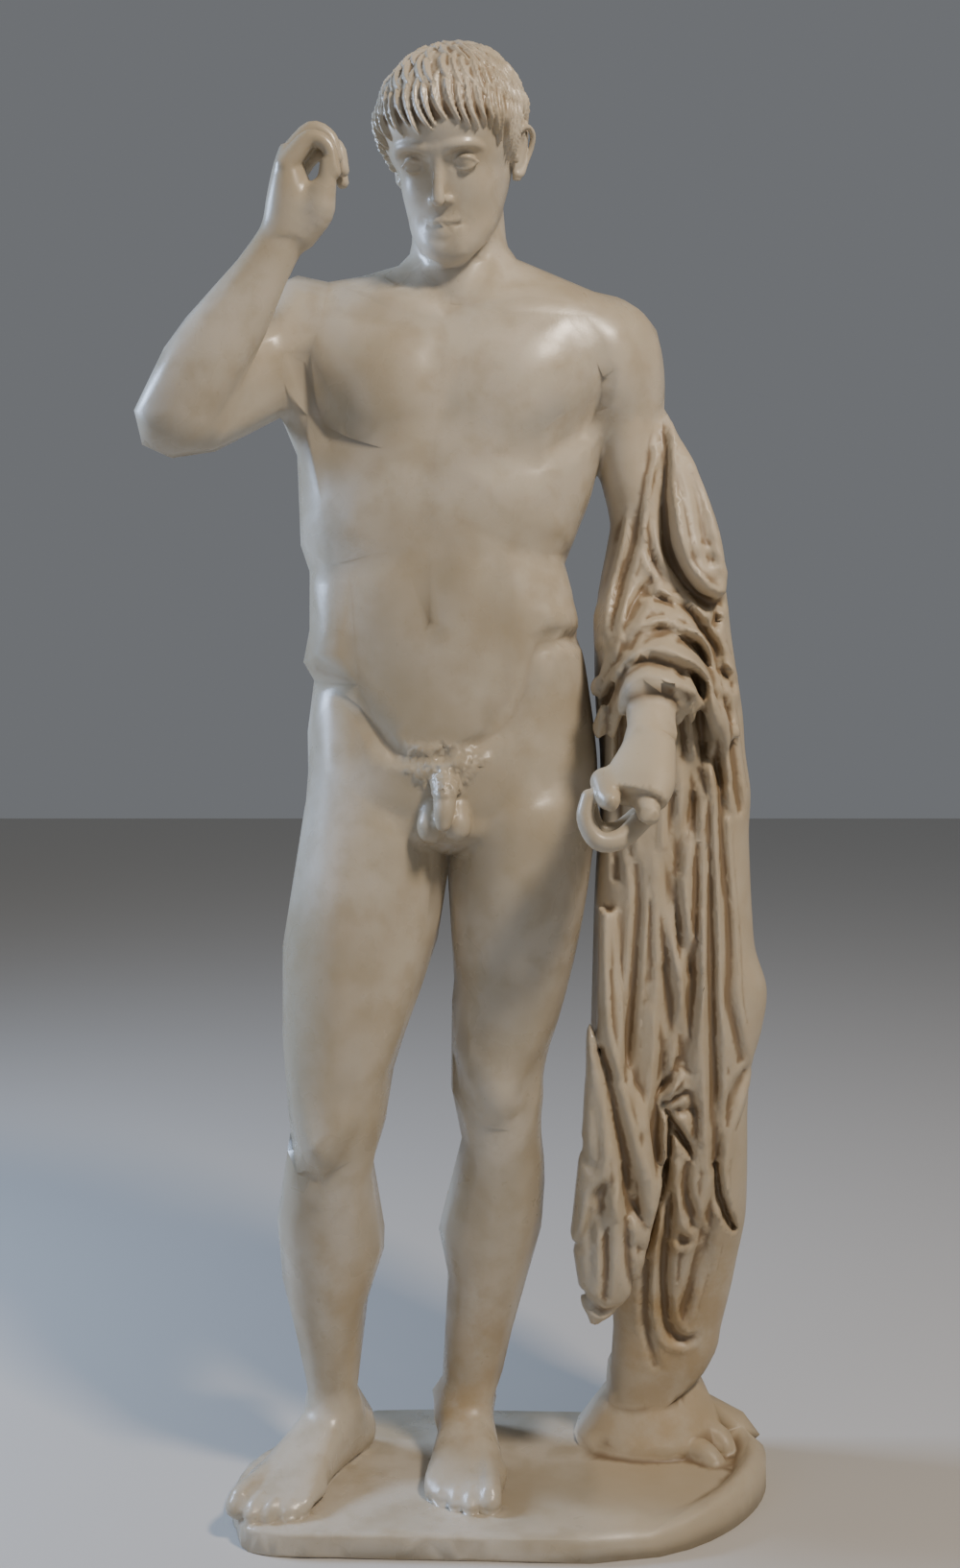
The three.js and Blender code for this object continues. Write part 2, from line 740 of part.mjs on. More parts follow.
function statue() {
  const block = joined([
    ...plinth(),
    ...torso(),
    ...legs(),
    ...groin(),
    ...foot([-181, 44, SOLES - 2], [-292, -182, SOLES - 2], 1),
    ...foot([-43, 92, SOLES - 2], [-42, -168, SOLES - 2], -1),
    ...leftArm(),
    ...leftHand(),
    ...rightArm(),
    ...rightHand(),
    neck(),
    ...head(),
    ...cloak(),
    ...tortoise(),
  ]);
  const carved = block.getMesh();
  const shape = new THREE.BufferGeometry()
    .setAttribute("position", new THREE.BufferAttribute(carved.vertProperties, 3))
    .setIndex(new THREE.BufferAttribute(carved.triVerts, 1))
    .translate(0, 0, PLINTH - SOLES)
    .scale(SCALE, SCALE, SCALE);
  const marble = new THREE.MeshStandardMaterial({ color: 0xcfc3b2, roughness: 0.42, metalness: 0 });
  const mesh = new THREE.Mesh(shape, marble);
  mesh.name = "statue";
  return mesh;
}

const sculpture = new THREE.Group();
sculpture.add(statue());

export default sculpture;
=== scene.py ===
import math

import bpy
import mathutils
import numpy as np
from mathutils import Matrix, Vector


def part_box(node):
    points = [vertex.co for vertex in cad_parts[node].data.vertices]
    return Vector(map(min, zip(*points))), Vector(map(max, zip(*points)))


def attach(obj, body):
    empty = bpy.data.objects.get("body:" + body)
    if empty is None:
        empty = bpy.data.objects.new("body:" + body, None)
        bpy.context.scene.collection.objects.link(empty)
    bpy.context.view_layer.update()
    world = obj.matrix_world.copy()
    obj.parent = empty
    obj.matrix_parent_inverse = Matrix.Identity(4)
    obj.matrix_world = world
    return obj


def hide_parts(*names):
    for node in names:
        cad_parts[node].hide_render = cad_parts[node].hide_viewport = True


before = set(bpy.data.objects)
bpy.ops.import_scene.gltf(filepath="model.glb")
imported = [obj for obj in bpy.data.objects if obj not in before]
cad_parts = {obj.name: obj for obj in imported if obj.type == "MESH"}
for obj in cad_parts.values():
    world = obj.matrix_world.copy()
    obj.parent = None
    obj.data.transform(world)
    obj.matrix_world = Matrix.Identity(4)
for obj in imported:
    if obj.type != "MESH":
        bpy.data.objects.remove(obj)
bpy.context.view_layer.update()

import openvdb

# ------------------------------------------------------------------------------------------------
# The block of marble. The statue is carved from one block, so it is modelled as one: a grid of
# grains that holds, at every point, how far the marble's surface is. Forms are joined into it and
# chisel strokes taken out of it. Sizes are in millimetres, for a figure 1750 high whose soles are
# at height 45; FRAME_SCALE and the plinth's underside set it in the frame.
# ------------------------------------------------------------------------------------------------

DRAWN_HEIGHT = 1765.07
DRAWN_UNDERSIDE = 15.0
GRAIN = 2.0
BLOCK_LOW = (-434.0, -296.0, 9.0)
BLOCK_HIGH = (362.0, 166.0, 1809.0)
AIR = 60.0

low_corner, high_corner = (np.array(c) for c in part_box("statue"))
FRAME_SCALE = (high_corner[2] - low_corner[2]) / DRAWN_HEIGHT

axes = [
    np.arange(BLOCK_LOW[0], BLOCK_HIGH[0], GRAIN, dtype=np.float32),
    np.arange(BLOCK_LOW[1], BLOCK_HIGH[1], GRAIN, dtype=np.float32),
    np.concatenate(
        [np.arange(BLOCK_LOW[2], 1500, GRAIN), np.arange(1500, BLOCK_HIGH[2], GRAIN * 0.75)], dtype=np.float32
    ),
]
marble = np.full([len(a) for a in axes], AIR, np.float32)
UPRIGHT = (np.zeros(3), np.eye(3), 1.0)
pose = UPRIGHT


def part_of_block(low, high):
    """The slices of the block round a box, and the x, y and z of their grains in the axes of the pose."""
    place, turn, size = pose
    corners = np.array([(x, y, z) for x in (low[0], high[0]) for y in (low[1], high[1]) for z in (low[2], high[2])])
    corners = corners @ turn.T * size + place
    ends = [np.searchsorted(axes[k], (corners[:, k].min(), corners[:, k].max())) for k in range(3)]
    cut = tuple(slice(max(0, first - 1), max(2, last + 1)) for first, last in ends)
    x, y, z = (axes[k][cut[k]] for k in range(3))
    x, y, z = x[:, None, None], y[None, :, None], z[None, None, :]
    if pose is not UPRIGHT:
        off = [((v - place[k]) / size).astype(np.float32) for k, v in enumerate((x, y, z))]
        x, y, z = (sum(off[i] * np.float32(turn[i, k]) for i in range(3)) for k in range(3))
    return cut, x, y, z


def join(cut, form, crease):
    """Joins a form to the marble, with a soft crease of that width where they meet."""
    old = marble[cut]
    share = np.clip(0.5 + 0.5 * (old - form) / crease, 0, 1)
    marble[cut] = old + (form - old) * share - crease * share * (1 - share)


def curve(rows, at):
    """Rows of numbers, read smoothly at places along their first column."""
    rows = np.array(rows, float)
    t = rows[:, 0]
    slope = np.gradient(rows, t, axis=0)
    at = np.clip(at, t[0], t[-1])
    i = np.clip(np.searchsorted(t, at, side="right") - 1, 0, len(t) - 2)
    h = (t[i + 1] - t[i])[..., None]
    s = ((at - t[i])[..., None]) / h
    a, b, da, db = rows[i], rows[i + 1], slope[i] * h, slope[i + 1] * h
    read = a + s * (da + s * (3 * (b - a) - 2 * da - db + s * (2 * (a - b) + da + db)))
    return read[..., 1:].astype(np.float32)


def egg(across, depth, height, rows, square):
    """How far points are from a stack of egg-shaped sections: rows of height, left, right, front, back."""
    heights = np.linspace(rows[0][0], rows[-1][0], 400, dtype=np.float32)
    left, right, front, back = (np.interp(height, heights, t).astype(np.float32) for t in curve(rows, heights).T)
    off_x, off_y = across - (left + right) / 2, depth - (front + back) / 2
    u = np.abs(off_x / ((right - left) / 2)) ** square
    v = np.abs(off_y / ((back - front) / 2)) ** square
    rho = np.maximum((u + v) ** (1 / square), 0.02)
    reach = np.sqrt(off_x**2 + off_y**2)
    out = reach * (1 - 1 / rho)
    centre = rho < 0.05
    out = np.where(centre, -np.minimum(right - left, back - front) / 2, out)
    beyond = np.maximum(rows[0][0] - height, height - rows[-1][0])
    return np.where(beyond > 0, np.hypot(np.maximum(out, 0), beyond), np.maximum(out, beyond))


def upright(rows, square=2.4, crease=12, room=34):
    """An upright limb or trunk from rows of height, left, right, front and back."""
    r = np.array(rows, float)
    low = (r[:, 1].min() - room, r[:, 3].min() - room, r[0, 0] - room)
    high = (r[:, 2].max() + room, r[:, 4].max() + room, r[-1, 0] + room)
    cut, x, y, z = part_of_block(low, high)
    join(cut, egg(x, y, z, rows, square), crease)


def leaning(start, end, back, rows, square=2.3, crease=12, room=34):
    """The same, along a line from start to end; back is the way that its depth looks."""
    start, end, back = (np.array(p, float) for p in (start, end, back))
    up = (end - start) / np.linalg.norm(end - start)
    side = np.cross(back, up)
    side /= np.linalg.norm(side)
    deep = np.cross(up, side)
    r = np.array(rows, float)
    corners = np.array(
        [start + up * h + side * s + deep * d for h, *sizes in r for s in sizes[:2] for d in sizes[2:]]
    )
    cut, x, y, z = part_of_block(corners.min(0) - room, corners.max(0) + room)
    px, py, pz = x - start[0], y - start[1], z - start[2]
    local = [(px * a[0] + py * a[1] + pz * a[2]).astype(np.float32) for a in (side, deep, up)]
    join(cut, egg(*local, rows, square), crease)


def smooth_path(knots, steps=6):
    knots = np.array(knots, float)
    rows = np.column_stack([np.arange(len(knots)), knots])
    return curve(rows, np.linspace(0, len(knots) - 1, (len(knots) - 1) * steps + 1))


def tapering(knots, crease=6, steps=4, room=16):
    """A round limb through x, y, z, radius knots, for fingers, toes and rolls of cloth."""
    path = smooth_path(knots, steps)
    reach = path[:, 3].max() + room
    cut, x, y, z = part_of_block(path[:, :3].min(0) - reach, path[:, :3].max(0) + reach)
    form = np.full(marble[cut].shape, AIR, np.float32)
    for a, b in zip(path[:-1], path[1:]):
        run = b[:3] - a[:3]
        t = (x - a[0]) * run[0] + (y - a[1]) * run[1] + (z - a[2]) * run[2]
        t = np.clip(t / max(run @ run, 1e-6), 0, 1)
        gap = np.sqrt(
            (x - a[0] - t * run[0]) ** 2 + (y - a[1] - t * run[1]) ** 2 + (z - a[2] - t * run[2]) ** 2
        )
        np.minimum(form, gap - (a[3] + t * (b[3] - a[3])), out=form)
    join(cut, form, crease)


def bell(q):
    return np.where(q < 1, (1 - np.minimum(q, 1) ** 2) ** 2, 0)


def swell(at, size, push):
    """Raises (push above 0) or lowers the surface round a point."""
    size = np.broadcast_to(size, 3).astype(float)
    cut, x, y, z = part_of_block(np.array(at) - size, np.array(at) + size)
    q = np.sqrt(((x - at[0]) / size[0]) ** 2 + ((y - at[1]) / size[1]) ** 2 + ((z - at[2]) / size[2]) ** 2)
    marble[cut] -= (push * bell(q)).astype(np.float32)


def chisel(knots, steps=5):
    """Raises or cuts along a curve through x, y, z, width, push knots."""
    path = smooth_path(knots, steps)
    wide = path[:, 3].max()
    cut, x, y, z = part_of_block(path[:, :3].min(0) - wide, path[:, :3].max(0) + wide)
    best = np.zeros(marble[cut].shape, np.float32)
    for a, b in zip(path[:-1], path[1:]):
        run = b[:3] - a[:3]
        t = (x - a[0]) * run[0] + (y - a[1]) * run[1] + (z - a[2]) * run[2]
        t = np.clip(t / max(run @ run, 1e-6), 0, 1)
        gap = np.sqrt(
            (x - a[0] - t * run[0]) ** 2 + (y - a[1] - t * run[1]) ** 2 + (z - a[2] - t * run[2]) ** 2
        )
        mark = (a[4] + t * (b[4] - a[4])) * bell(gap / (a[3] + t * (b[3] - a[3])))
        best = np.where(np.abs(mark) > np.abs(best), mark, best)
    marble[cut] -= best


def blurred(field, reach):
    """The field, averaged over a box of grains that reaches this far each way."""
    for k in range(field.ndim):
        total = np.cumsum(np.concatenate([np.zeros_like(field.take([0], k)), field], axis=k), axis=k, dtype=np.float32)
        size = field.shape[k]
        high = np.clip(np.arange(size) + reach + 1, 0, size)
        low = np.clip(np.arange(size) - reach, 0, size)
        shape = [1] * field.ndim
        shape[k] = size
        field = (total.take(high, k) - total.take(low, k)) / (high - low).reshape(shape)
    return field


def broken(at, size, depth, lump):
    """Breaks the surface round a point into irregular lumps, as a fracture leaves it."""
    cut, x, y, z = part_of_block(np.array(at) - size, np.array(at) + size)
    mask = bell(np.sqrt(((x - at[0]) / size[0]) ** 2 + ((y - at[1]) / size[1]) ** 2 + ((z - at[2]) / size[2]) ** 2) * 0.8)
    cells = np.random.default_rng(5).random([int(2 * s / lump) + 3 for s in size])
    for k, line in enumerate((x.ravel(), y.ravel(), z.ravel())):
        spot = np.clip((line - at[k] + size[k]) / lump, 0, cells.shape[k] - 1.01)
        base, part = spot.astype(int), spot - spot.astype(int)
        part = part.reshape([-1 if i == k else 1 for i in range(3)])
        cells = cells.take(base, k) * (1 - part) + cells.take(base + 1, k) * part
    marble[cut] += (depth * mask * cells).astype(np.float32)


class Relief:
    """A sheet of heights over p and q, in millimetres, drawn on and then pressed into the marble."""

    def __init__(self, p_low, p_high, q_low, q_high, step=1.5):
        self.low, self.step = (p_low, q_low), step
        self.p = np.arange(p_low, p_high, step, dtype=np.float32)[:, None]
        self.q = np.arange(q_low, q_high, step, dtype=np.float32)[None, :]
        self.height = np.zeros((self.p.size, self.q.size), np.float32)

    def stroke(self, knots, steps=6, merge=False):
        """A stroke through p, q, width, push knots. A merged stroke takes the place of what it covers."""
        path = smooth_path(knots, steps)
        wide = path[:, 2].max()
        i = slice(*np.searchsorted(self.p[:, 0], (path[:, 0].min() - wide, path[:, 0].max() + wide)))
        j = slice(*np.searchsorted(self.q[0], (path[:, 1].min() - wide, path[:, 1].max() + wide)))
        p, q = self.p[i], self.q[:, j]
        best = np.zeros((p.size, q.size), np.float32)
        high = np.zeros((p.size, q.size), np.float32)
        for a, b in zip(path[:-1], path[1:]):
            run = b[:2] - a[:2]
            t = np.clip(((p - a[0]) * run[0] + (q - a[1]) * run[1]) / max(run @ run, 1e-6), 0, 1)
            gap = np.hypot(p - a[0] - t * run[0], q - a[1] - t * run[1])
            mark = bell(gap / (a[2] + t * (b[2] - a[2])))
            high = np.where(mark > best, a[3] + t * (b[3] - a[3]), high)
            best = np.maximum(mark, best)
        if merge:
            cover = np.clip(best * 3, 0, 1)
            self.height[i, j] += (high * (0.45 + 0.55 * best) - self.height[i, j]) * cover
        else:
            self.height[i, j] += high * best

    def spot(self, p, q, size_p, size_q, push):
        self.height += push * bell(np.hypot((self.p - p) / size_p, (self.q - q) / size_q))

    def soften(self, reach):
        grains = int(round(reach / self.step))
        self.height = blurred(blurred(self.height, grains), grains)

    def read(self, p, q):
        i = np.clip((p - self.low[0]) / self.step, 0, self.p.size - 1.01)
        j = np.clip((q - self.low[1]) / self.step, 0, self.q.size - 1.01)
        a, b = i.astype(int), j.astype(int)
        u, v = i - a, j - b
        h = self.height
        near = h[a, b] * (1 - v) + h[a, b + 1] * v
        far = h[a + 1, b] * (1 - v) + h[a + 1, b + 1] * v
        return (near * (1 - u) + far * u).astype(np.float32)

    def press(self, y_full, y_none):
        """Presses the sheet in as x and z, from its full height at y_full to nothing at y_none."""
        low = (self.low[0], min(y_none, 400 * np.sign(y_full - y_none)), self.low[1])
        high = (self.p[-1, 0], max(y_none, 400 * np.sign(y_full - y_none)), self.q[0, -1])
        cut, x, y, z = part_of_block(low, high)
        share = np.clip((y - y_none) / (y_full - y_none), 0, 1)
        marble[cut] -= self.read(x, z) * (share * share * (3 - 2 * share))


# ------------------------------------------------------------------------------------------------
# Torso: pelvis, belly and rib cage, with the shoulder girdle lying across the top. It stands with
# its weight on the left leg, so the left hip is pushed out and up.
# ------------------------------------------------------------------------------------------------

TORSO = [
    (828, -130, 0, -60, 60),
    (842, -205, 70, -92, 95),
    (881, -240, 117, -108, 122),
    (929, -238, 121, -112, 128),
    (977, -238, 117, -108, 122),
    (1025, -232, 110, -108, 108),
    (1060, -238, 104, -113, 97),
    (1096, -235, 95, -117, 90),
    (1144, -235, 88, -118, 86),
    (1180, -238, 81, -118, 87),
    (1214, -244, 92, -119, 93),
    (1261, -245, 110, -120, 102),
    (1308, -248, 120, -120, 110),
    (1355, -252, 126, -120, 115),
    (1403, -250, 130, -114, 116),
    (1449, -236, 132, -100, 110),
    (1490, -190, 90, -72, 96),
    (1512, -140, 40, -48, 82),
]
upright(TORSO, square=2.45)
GIRDLE = [
    (0, -130, -30, -20, 20),
    (22, -150, 15, -60, 55),
    (80, -150, 30, -85, 82),
    (150, -162, 30, -92, 92),
    (210, -180, 30, -86, 92),
    (250, -184, 30, -86, 92),
    (330, -164, 30, -90, 90),
    (390, -140, 30, -86, 84),
    (440, -118, 30, -72, 74),
    (470, -90, 0, -40, 48),
]
leaning((-285, 0, 1372), (185, 0, 1372), (0, 1, 0), GIRDLE, square=2.2, crease=40)

front = Relief(-260, 140, 880, 1530)
front.spot(-140, 1392, 96, 84, 13)
front.spot(34, 1388, 96, 84, 13)
front.stroke([(-62, 1450, 22, -3), (-68, 1400, 24, -6), (-76, 1335, 24, -5), (-78, 1305, 20, -2)])
front.stroke(
    [(-232, 1412, 16, -12), (-218, 1370, 20, -15), (-206, 1345, 22, -13), (-186, 1324, 24, -11)]
    + [(-150, 1312, 24, -8), (-110, 1318, 24, -6), (-84, 1330, 20, -3)]
)
front.stroke(
    [(120, 1398, 16, -12), (113, 1370, 20, -14), (98, 1342, 22, -14), (80, 1322, 22, -13)]
    + [(52, 1307, 24, -10), (10, 1303, 26, -8), (-30, 1309, 26, -6), (-64, 1326, 20, -3)]
)
front.stroke([(-82, 1476, 12, 3), (-112, 1483, 13, 5), (-145, 1491, 13, 5), (-180, 1502, 14, 3)])
front.stroke([(-36, 1475, 12, 3), (0, 1484, 13, 5), (40, 1487, 13, 5), (84, 1482, 13, 4), (112, 1488, 12, 2)])
front.stroke([(-96, 1466, 22, -3), (-140, 1470, 24, -5), (-178, 1474, 20, -4)])
front.stroke([(-20, 1462, 22, -3), (30, 1468, 24, -5), (72, 1466, 20, -5), (98, 1440, 20, -6), (112, 1412, 16, -4)])
front.spot(-59, 1482, 16, 18, -9)
front.stroke([(-40, 1488, 9, 4), (-22, 1508, 10, 5), (-6, 1530, 10, 4)])
front.stroke([(-78, 1488, 9, 4), (-92, 1508, 10, 4)])
front.spot(12, 1503, 26, 16, -5)
front.spot(-124, 1506, 26, 16, -5)
# Belly: the middle line, the soft fold under the ribs and the edges of the straight muscle.
front.stroke([(-78, 1300, 22, -3), (-80, 1250, 24, -4), (-84, 1190, 24, -5), (-87, 1140, 20, -6), (-82, 1112, 14, -2)])
front.stroke(
    [(-228, 1172, 24, -5), (-180, 1180, 26, -8), (-125, 1193, 26, -5), (-60, 1198, 26, -4)]
    + [(0, 1198, 26, -6), (50, 1193, 26, -7), (80, 1186, 20, -5)]
)
front.stroke([(-100, 1290, 34, 5), (-150, 1250, 40, 5), (-190, 1210, 36, 5)])
front.stroke([(-56, 1290, 34, 5), (-6, 1250, 40, 5), (36, 1216, 36, 5)])
front.stroke([(-172, 1170, 18, -3), (-178, 1130, 20, -7), (-176, 1090, 20, -7), (-166, 1050, 20, -4), (-158, 1016, 16, -1)])
front.stroke([(-8, 1178, 18, -2), (-10, 1130, 18, -4), (-6, 1090, 18, -4), (0, 1050, 16, -2)])
front.stroke([(22, 1186, 20, 2), (14, 1150, 18, 4), (16, 1110, 18, 4), (22, 1090, 14, 1)])
front.spot(-92, 1088, 40, 30, 3)
front.spot(-48, 1100, 30, 30, 2)
front.spot(-70, 1010, 84, 66, 7)
front.spot(-214, 1068, 40, 34, 7)
front.spot(66, 1112, 46, 30, 8)
# The groove over the hips, which meets above the groin.
front.stroke(
    [(-246, 1040, 16, -6), (-222, 1037, 18, -10), (-196, 1033, 18, -10), (-176, 1018, 17, -9), (-158, 993, 17, -10)]
    + [(-140, 966, 17, -11), (-122, 950, 15, -9), (-96, 945, 13, -7), (-68, 949, 12, -6)]
)
front.stroke(
    [(108, 1092, 14, -8), (86, 1089, 15, -10), (60, 1087, 14, -9), (40, 1080, 13, -9), (34, 1060, 14, -8)]
    + [(28, 1032, 15, -9), (18, 1006, 16, -10), (2, 983, 16, -10), (-24, 966, 14, -8), (-50, 957, 12, -6), (-70, 950, 12, -5)]
)
front.soften(2)
for nipple in ((-199, 1347), (70, 1350)):
    front.spot(*nipple, 13, 13, 1.6)
    front.spot(*nipple, 5.5, 5.5, 3.0)
front.spot(-81, 1105, 11, 9, -9)
front.spot(-80, 1100, 6, 4, 4)
front.spot(-68, 961, 3.4, 3.4, -9)
front.press(-40, 10)

back = Relief(-260, 150, 850, 1530)
back.stroke([(-58, 1510, 26, -4), (-62, 1440, 30, -12), (-68, 1340, 34, -14), (-74, 1220, 34, -14), (-72, 1120, 34, -10), (-66, 1040, 30, -4)])
back.spot(-150, 1400, 76, 90, 12)
back.spot(30, 1395, 76, 90, 12)
back.stroke([(-110, 1350, 18, -4), (-118, 1400, 20, -7), (-105, 1450, 20, -5)])
back.stroke([(-8, 1350, 18, -4), (0, 1400, 20, -7), (-10, 1450, 20, -5)])
back.stroke([(-104, 1320, 30, 4), (-108, 1220, 30, 6), (-104, 1120, 30, 5)])
back.stroke([(-36, 1320, 30, 4), (-40, 1220, 30, 6), (-36, 1120, 30, 5)])
back.spot(-146, 920, 88, 88, 22)
back.spot(26, 934, 88, 88, 24)
back.stroke([(-62, 1010, 16, -6), (-62, 960, 20, -20), (-62, 900, 22, -26), (-62, 850, 20, -16)])
back.stroke([(-190, 850, 20, -2), (-130, 842, 22, -12), (-70, 846, 20, -10)])
back.stroke([(70, 856, 20, -2), (10, 846, 22, -12), (-50, 848, 20, -10)])
back.spot(-110, 1050, 16, 16, -4)
back.spot(-20, 1052, 16, 16, -4)
back.press(50, 5)

# ------------------------------------------------------------------------------------------------
# Legs: the left one carries the weight; the right is eased, with its knee forward.
# ------------------------------------------------------------------------------------------------

RIGHT_LEG = [
    (62, -226, -178, -26, 40),
    (84, -238, -178, -48, 44),
    (100, -243, -180, -54, 42),
    (125, -244, -180, -50, 32),
    (150, -246, -180, -48, 28),
    (175, -250, -177, -51, 28),
    (200, -255, -175, -56, 31),
    (225, -259, -172, -62, 36),
    (250, -265, -168, -68, 41),
    (275, -270, -162, -74, 46),
    (300, -274, -154, -80, 49),
    (325, -277, -147, -86, 49),
    (349, -278, -146, -92, 46),
    (374, -277, -149, -99, 38),
    (411, -270, -153, -110, 18),
    (436, -265, -156, -122, 4),
    (460, -261, -153, -133, -4),
    (484, -259, -145, -139, -5),
    (505, -259, -140, -138, 2),
    (529, -261, -137, -134, 12),
    (553, -263, -134, -131, 22),
    (601, -267, -120, -131, 42),
    (649, -268, -101, -130, 56),
    (697, -268, -85, -128, 67),
    (744, -264, -73, -125, 77),
    (800, -256, -66, -120, 88),
    (860, -246, -62, -112, 96),
    (930, -225, -90, -85, 80),
]
LEFT_LEG = [
    (60, -72, -20, 2, 90),
    (84, -84, -16, -22, 92),
    (108, -82, -10, -25, 76),
    (133, -76, -2, -20, 65),
    (159, -72, 6, -22, 64),
    (184, -71, 12, -24, 66),
    (210, -70, 18, -27, 70),
    (235, -69, 25, -30, 76),
    (260, -68, 32, -34, 82),
    (285, -68, 39, -38, 87),
    (311, -73, 46, -42, 90),
    (336, -75, 52, -47, 90),
    (361, -72, 56, -51, 86),
    (386, -66, 57, -55, 80),
    (411, -60, 57, -59, 72),
    (436, -54, 56, -64, 63),
    (473, -49, 52, -75, 54),
    (497, -54, 52, -84, 50),
    (521, -59, 54, -91, 50),
    (546, -61, 54, -96, 53),
    (570, -60, 58, -97, 58),
    (619, -59, 73, -101, 68),
    (667, -57, 86, -106, 76),
    (716, -60, 97, -110, 83),
    (764, -63, 106, -113, 90),
    (812, -64, 113, -115, 98),
    (881, -62, 119, -112, 110),
    (940, -40, 110, -80, 90),
]
for leg in (RIGHT_LEG, LEFT_LEG):
    upright(leg, square=2.2, crease=5)

thigh = Relief(-290, 140, 440, 930)
thigh.stroke([(-205, 900, 40, 3), (-200, 780, 44, 4), (-196, 660, 40, 4), (-200, 580, 30, 2)])
thigh.stroke([(-120, 640, 26, 2), (-150, 590, 28, 5), (-160, 545, 26, 4)])
thigh.stroke([(-245, 600, 22, 1), (-240, 560, 22, 3), (-238, 540, 18, 2)])
thigh.stroke([(20, 900, 40, 2), (14, 780, 44, 3), (2, 680, 40, 3), (-2, 610, 28, 2)])
thigh.stroke([(-44, 640, 24, 3), (-40, 600, 24, 6), (-40, 575, 18, 4)])
thigh.stroke([(52, 640, 24, 1), (40, 600, 22, 3), (34, 580, 16, 2)])
# Kneecaps, each with the fold that runs under it.
thigh.spot(-214, 492, 36, 36, 9)
thigh.stroke([(-252, 505, 14, -3), (-247, 475, 14, -6), (-236, 455, 13, -7), (-214, 446, 12, -5), (-192, 452, 13, -7), (-176, 472, 15, -8), (-160, 502, 15, -5), (-146, 524, 14, -2)])
thigh.spot(-6, 546, 34, 38, 8)
thigh.stroke([(-54, 580, 12, -3), (-50, 550, 13, -7), (-40, 515, 13, -8), (-22, 494, 13, -7), (4, 489, 13, -6), (24, 506, 14, -7), (34, 540, 14, -6), (40, 580, 12, -2)])
thigh.spot(14, 520, 12, 10, -3)
thigh.press(-50, -5)

shin = Relief(-300, 80, 60, 480)
shin.stroke([(-210, 430, 14, 3), (-213, 380, 15, 5), (-214, 300, 16, 5), (-212, 220, 14, 4), (-208, 160, 12, 2)])
shin.stroke([(-252, 400, 20, 1), (-250, 330, 22, 3), (-240, 240, 18, 2)])
shin.stroke([(0, 470, 15, 3), (-6, 400, 16, 5), (-16, 320, 16, 5), (-28, 240, 14, 4), (-36, 170, 12, 2)])
shin.stroke([(30, 420, 18, 2), (24, 340, 20, 3), (6, 260, 16, 2)])
shin.press(-30, 5)
for ankle, size, push in (
    ((-240, -6, 118), (18, 22, 20), 6),
    ((-180, -18, 122), (18, 22, 20), 5),
    ((-80, 26, 118), (18, 22, 20), 7),
    ((-10, 34, 108), (18, 22, 20), 6),
):
    swell(ankle, size, push)
for tendon in ((-210, 36, 110), (-44, 78, 110)):
    chisel([(*tendon, 14, 6), (tendon[0], tendon[1] - 4, 190, 16, 5), (tendon[0] + 4, tendon[1] - 2, 260, 18, 2)])

# ------------------------------------------------------------------------------------------------
# Feet, soles flat on the plinth: a wedge from the heel up over the instep, and five toes.
# ------------------------------------------------------------------------------------------------

FOOT = [
    (0, 12, 12, 30),
    (10, 27, 27, 54),
    (38, 33, 33, 84),
    (60, 34, 34, 92),
    (78, 35, 34, 88),
    (112, 39, 36, 72),
    (150, 45, 42, 53),
    (185, 48, 46, 38),
    (205, 46, 46, 29),
    (222, 36, 40, 20),
]
TOES = [(29, 186, 24, 252, 13, 14.5), (7, 190, 21, 252, 10, 10), (-10, 184, 19, 243, 9.5, 9.5), (-25, 174, 17, 231, 9, 9), (-39, 162, 16, 214, 9, 9)]
SOLE = 43.0


def foot(heel, ball, inner):
    """A foot from the back of the heel, through a point under its ball; inner is +1 where the big toe is towards +X."""
    heel, ball = np.array([*heel, SOLE]), np.array([*ball, SOLE])
    ahead = (ball - heel) / np.linalg.norm(ball - heel)
    aside = np.array([-ahead[1], ahead[0], 0.0]) * -inner
    rows = [(h, -big, small, -top, 2) if inner > 0 else (h, -small, big, -top, 2) for h, small, big, top in FOOT]
    leaning(heel, heel + ahead * 222, (0, 0, -1), rows, square=2.35, crease=14)
    for side, root, rise, reach, tip, r in TOES:
        base = heel + ahead * root + aside * side * 0.98 + (0, 0, rise)
        knuckle = heel + ahead * (root * 0.4 + reach * 0.6) + aside * side * 1.05 + (0, 0, tip + 9)
        end = heel + ahead * (reach - r) + aside * side * 1.03 + (0, 0, tip)
        tapering([(*base, r), (*knuckle, r * 0.94), (*end, r)], crease=7)
        nail = end + ahead * 3 + (0, 0, r * 0.8)
        swell(nail, (r * 0.8, r * 0.8, 5), -1.6)
        chisel([(*(base + (0, 0, r * 0.7)), 11, 2.5), (*(heel + ahead * 110 + aside * side * 0.5 + (0, 0, 62)), 12, 0.5)])
    ball_of_foot = heel + ahead * 178 + aside * 44 + (0, 0, 20)
    swell(ball_of_foot, (26, 26, 20), 4)


foot((-181, 44), (-262, -117), 1)
foot((-43, 92), (-43, -100), -1)

# ------------------------------------------------------------------------------------------------
# Arms: the left hangs with its forearm forward under the cloak; the right is raised to the head.
# ------------------------------------------------------------------------------------------------

LEFT_UPPER_ARM = [
    (1140, 150, 212, -28, 62),
    (1180, 142, 214, -42, 66),
    (1240, 135, 207, -50, 62),
    (1285, 124, 201, -52, 60),
    (1308, 119, 199, -52, 60),
    (1356, 110, 200, -54, 62),
    (1403, 99, 201, -60, 66),
    (1426, 94, 199, -61, 66),
    (1449, 90, 194, -60, 64),
    (1472, 93, 184, -54, 58),
    (1488, 100, 170, -40, 48),
    (1500, 116, 152, -20, 30),
]
upright(LEFT_UPPER_ARM, square=2.15, crease=12)

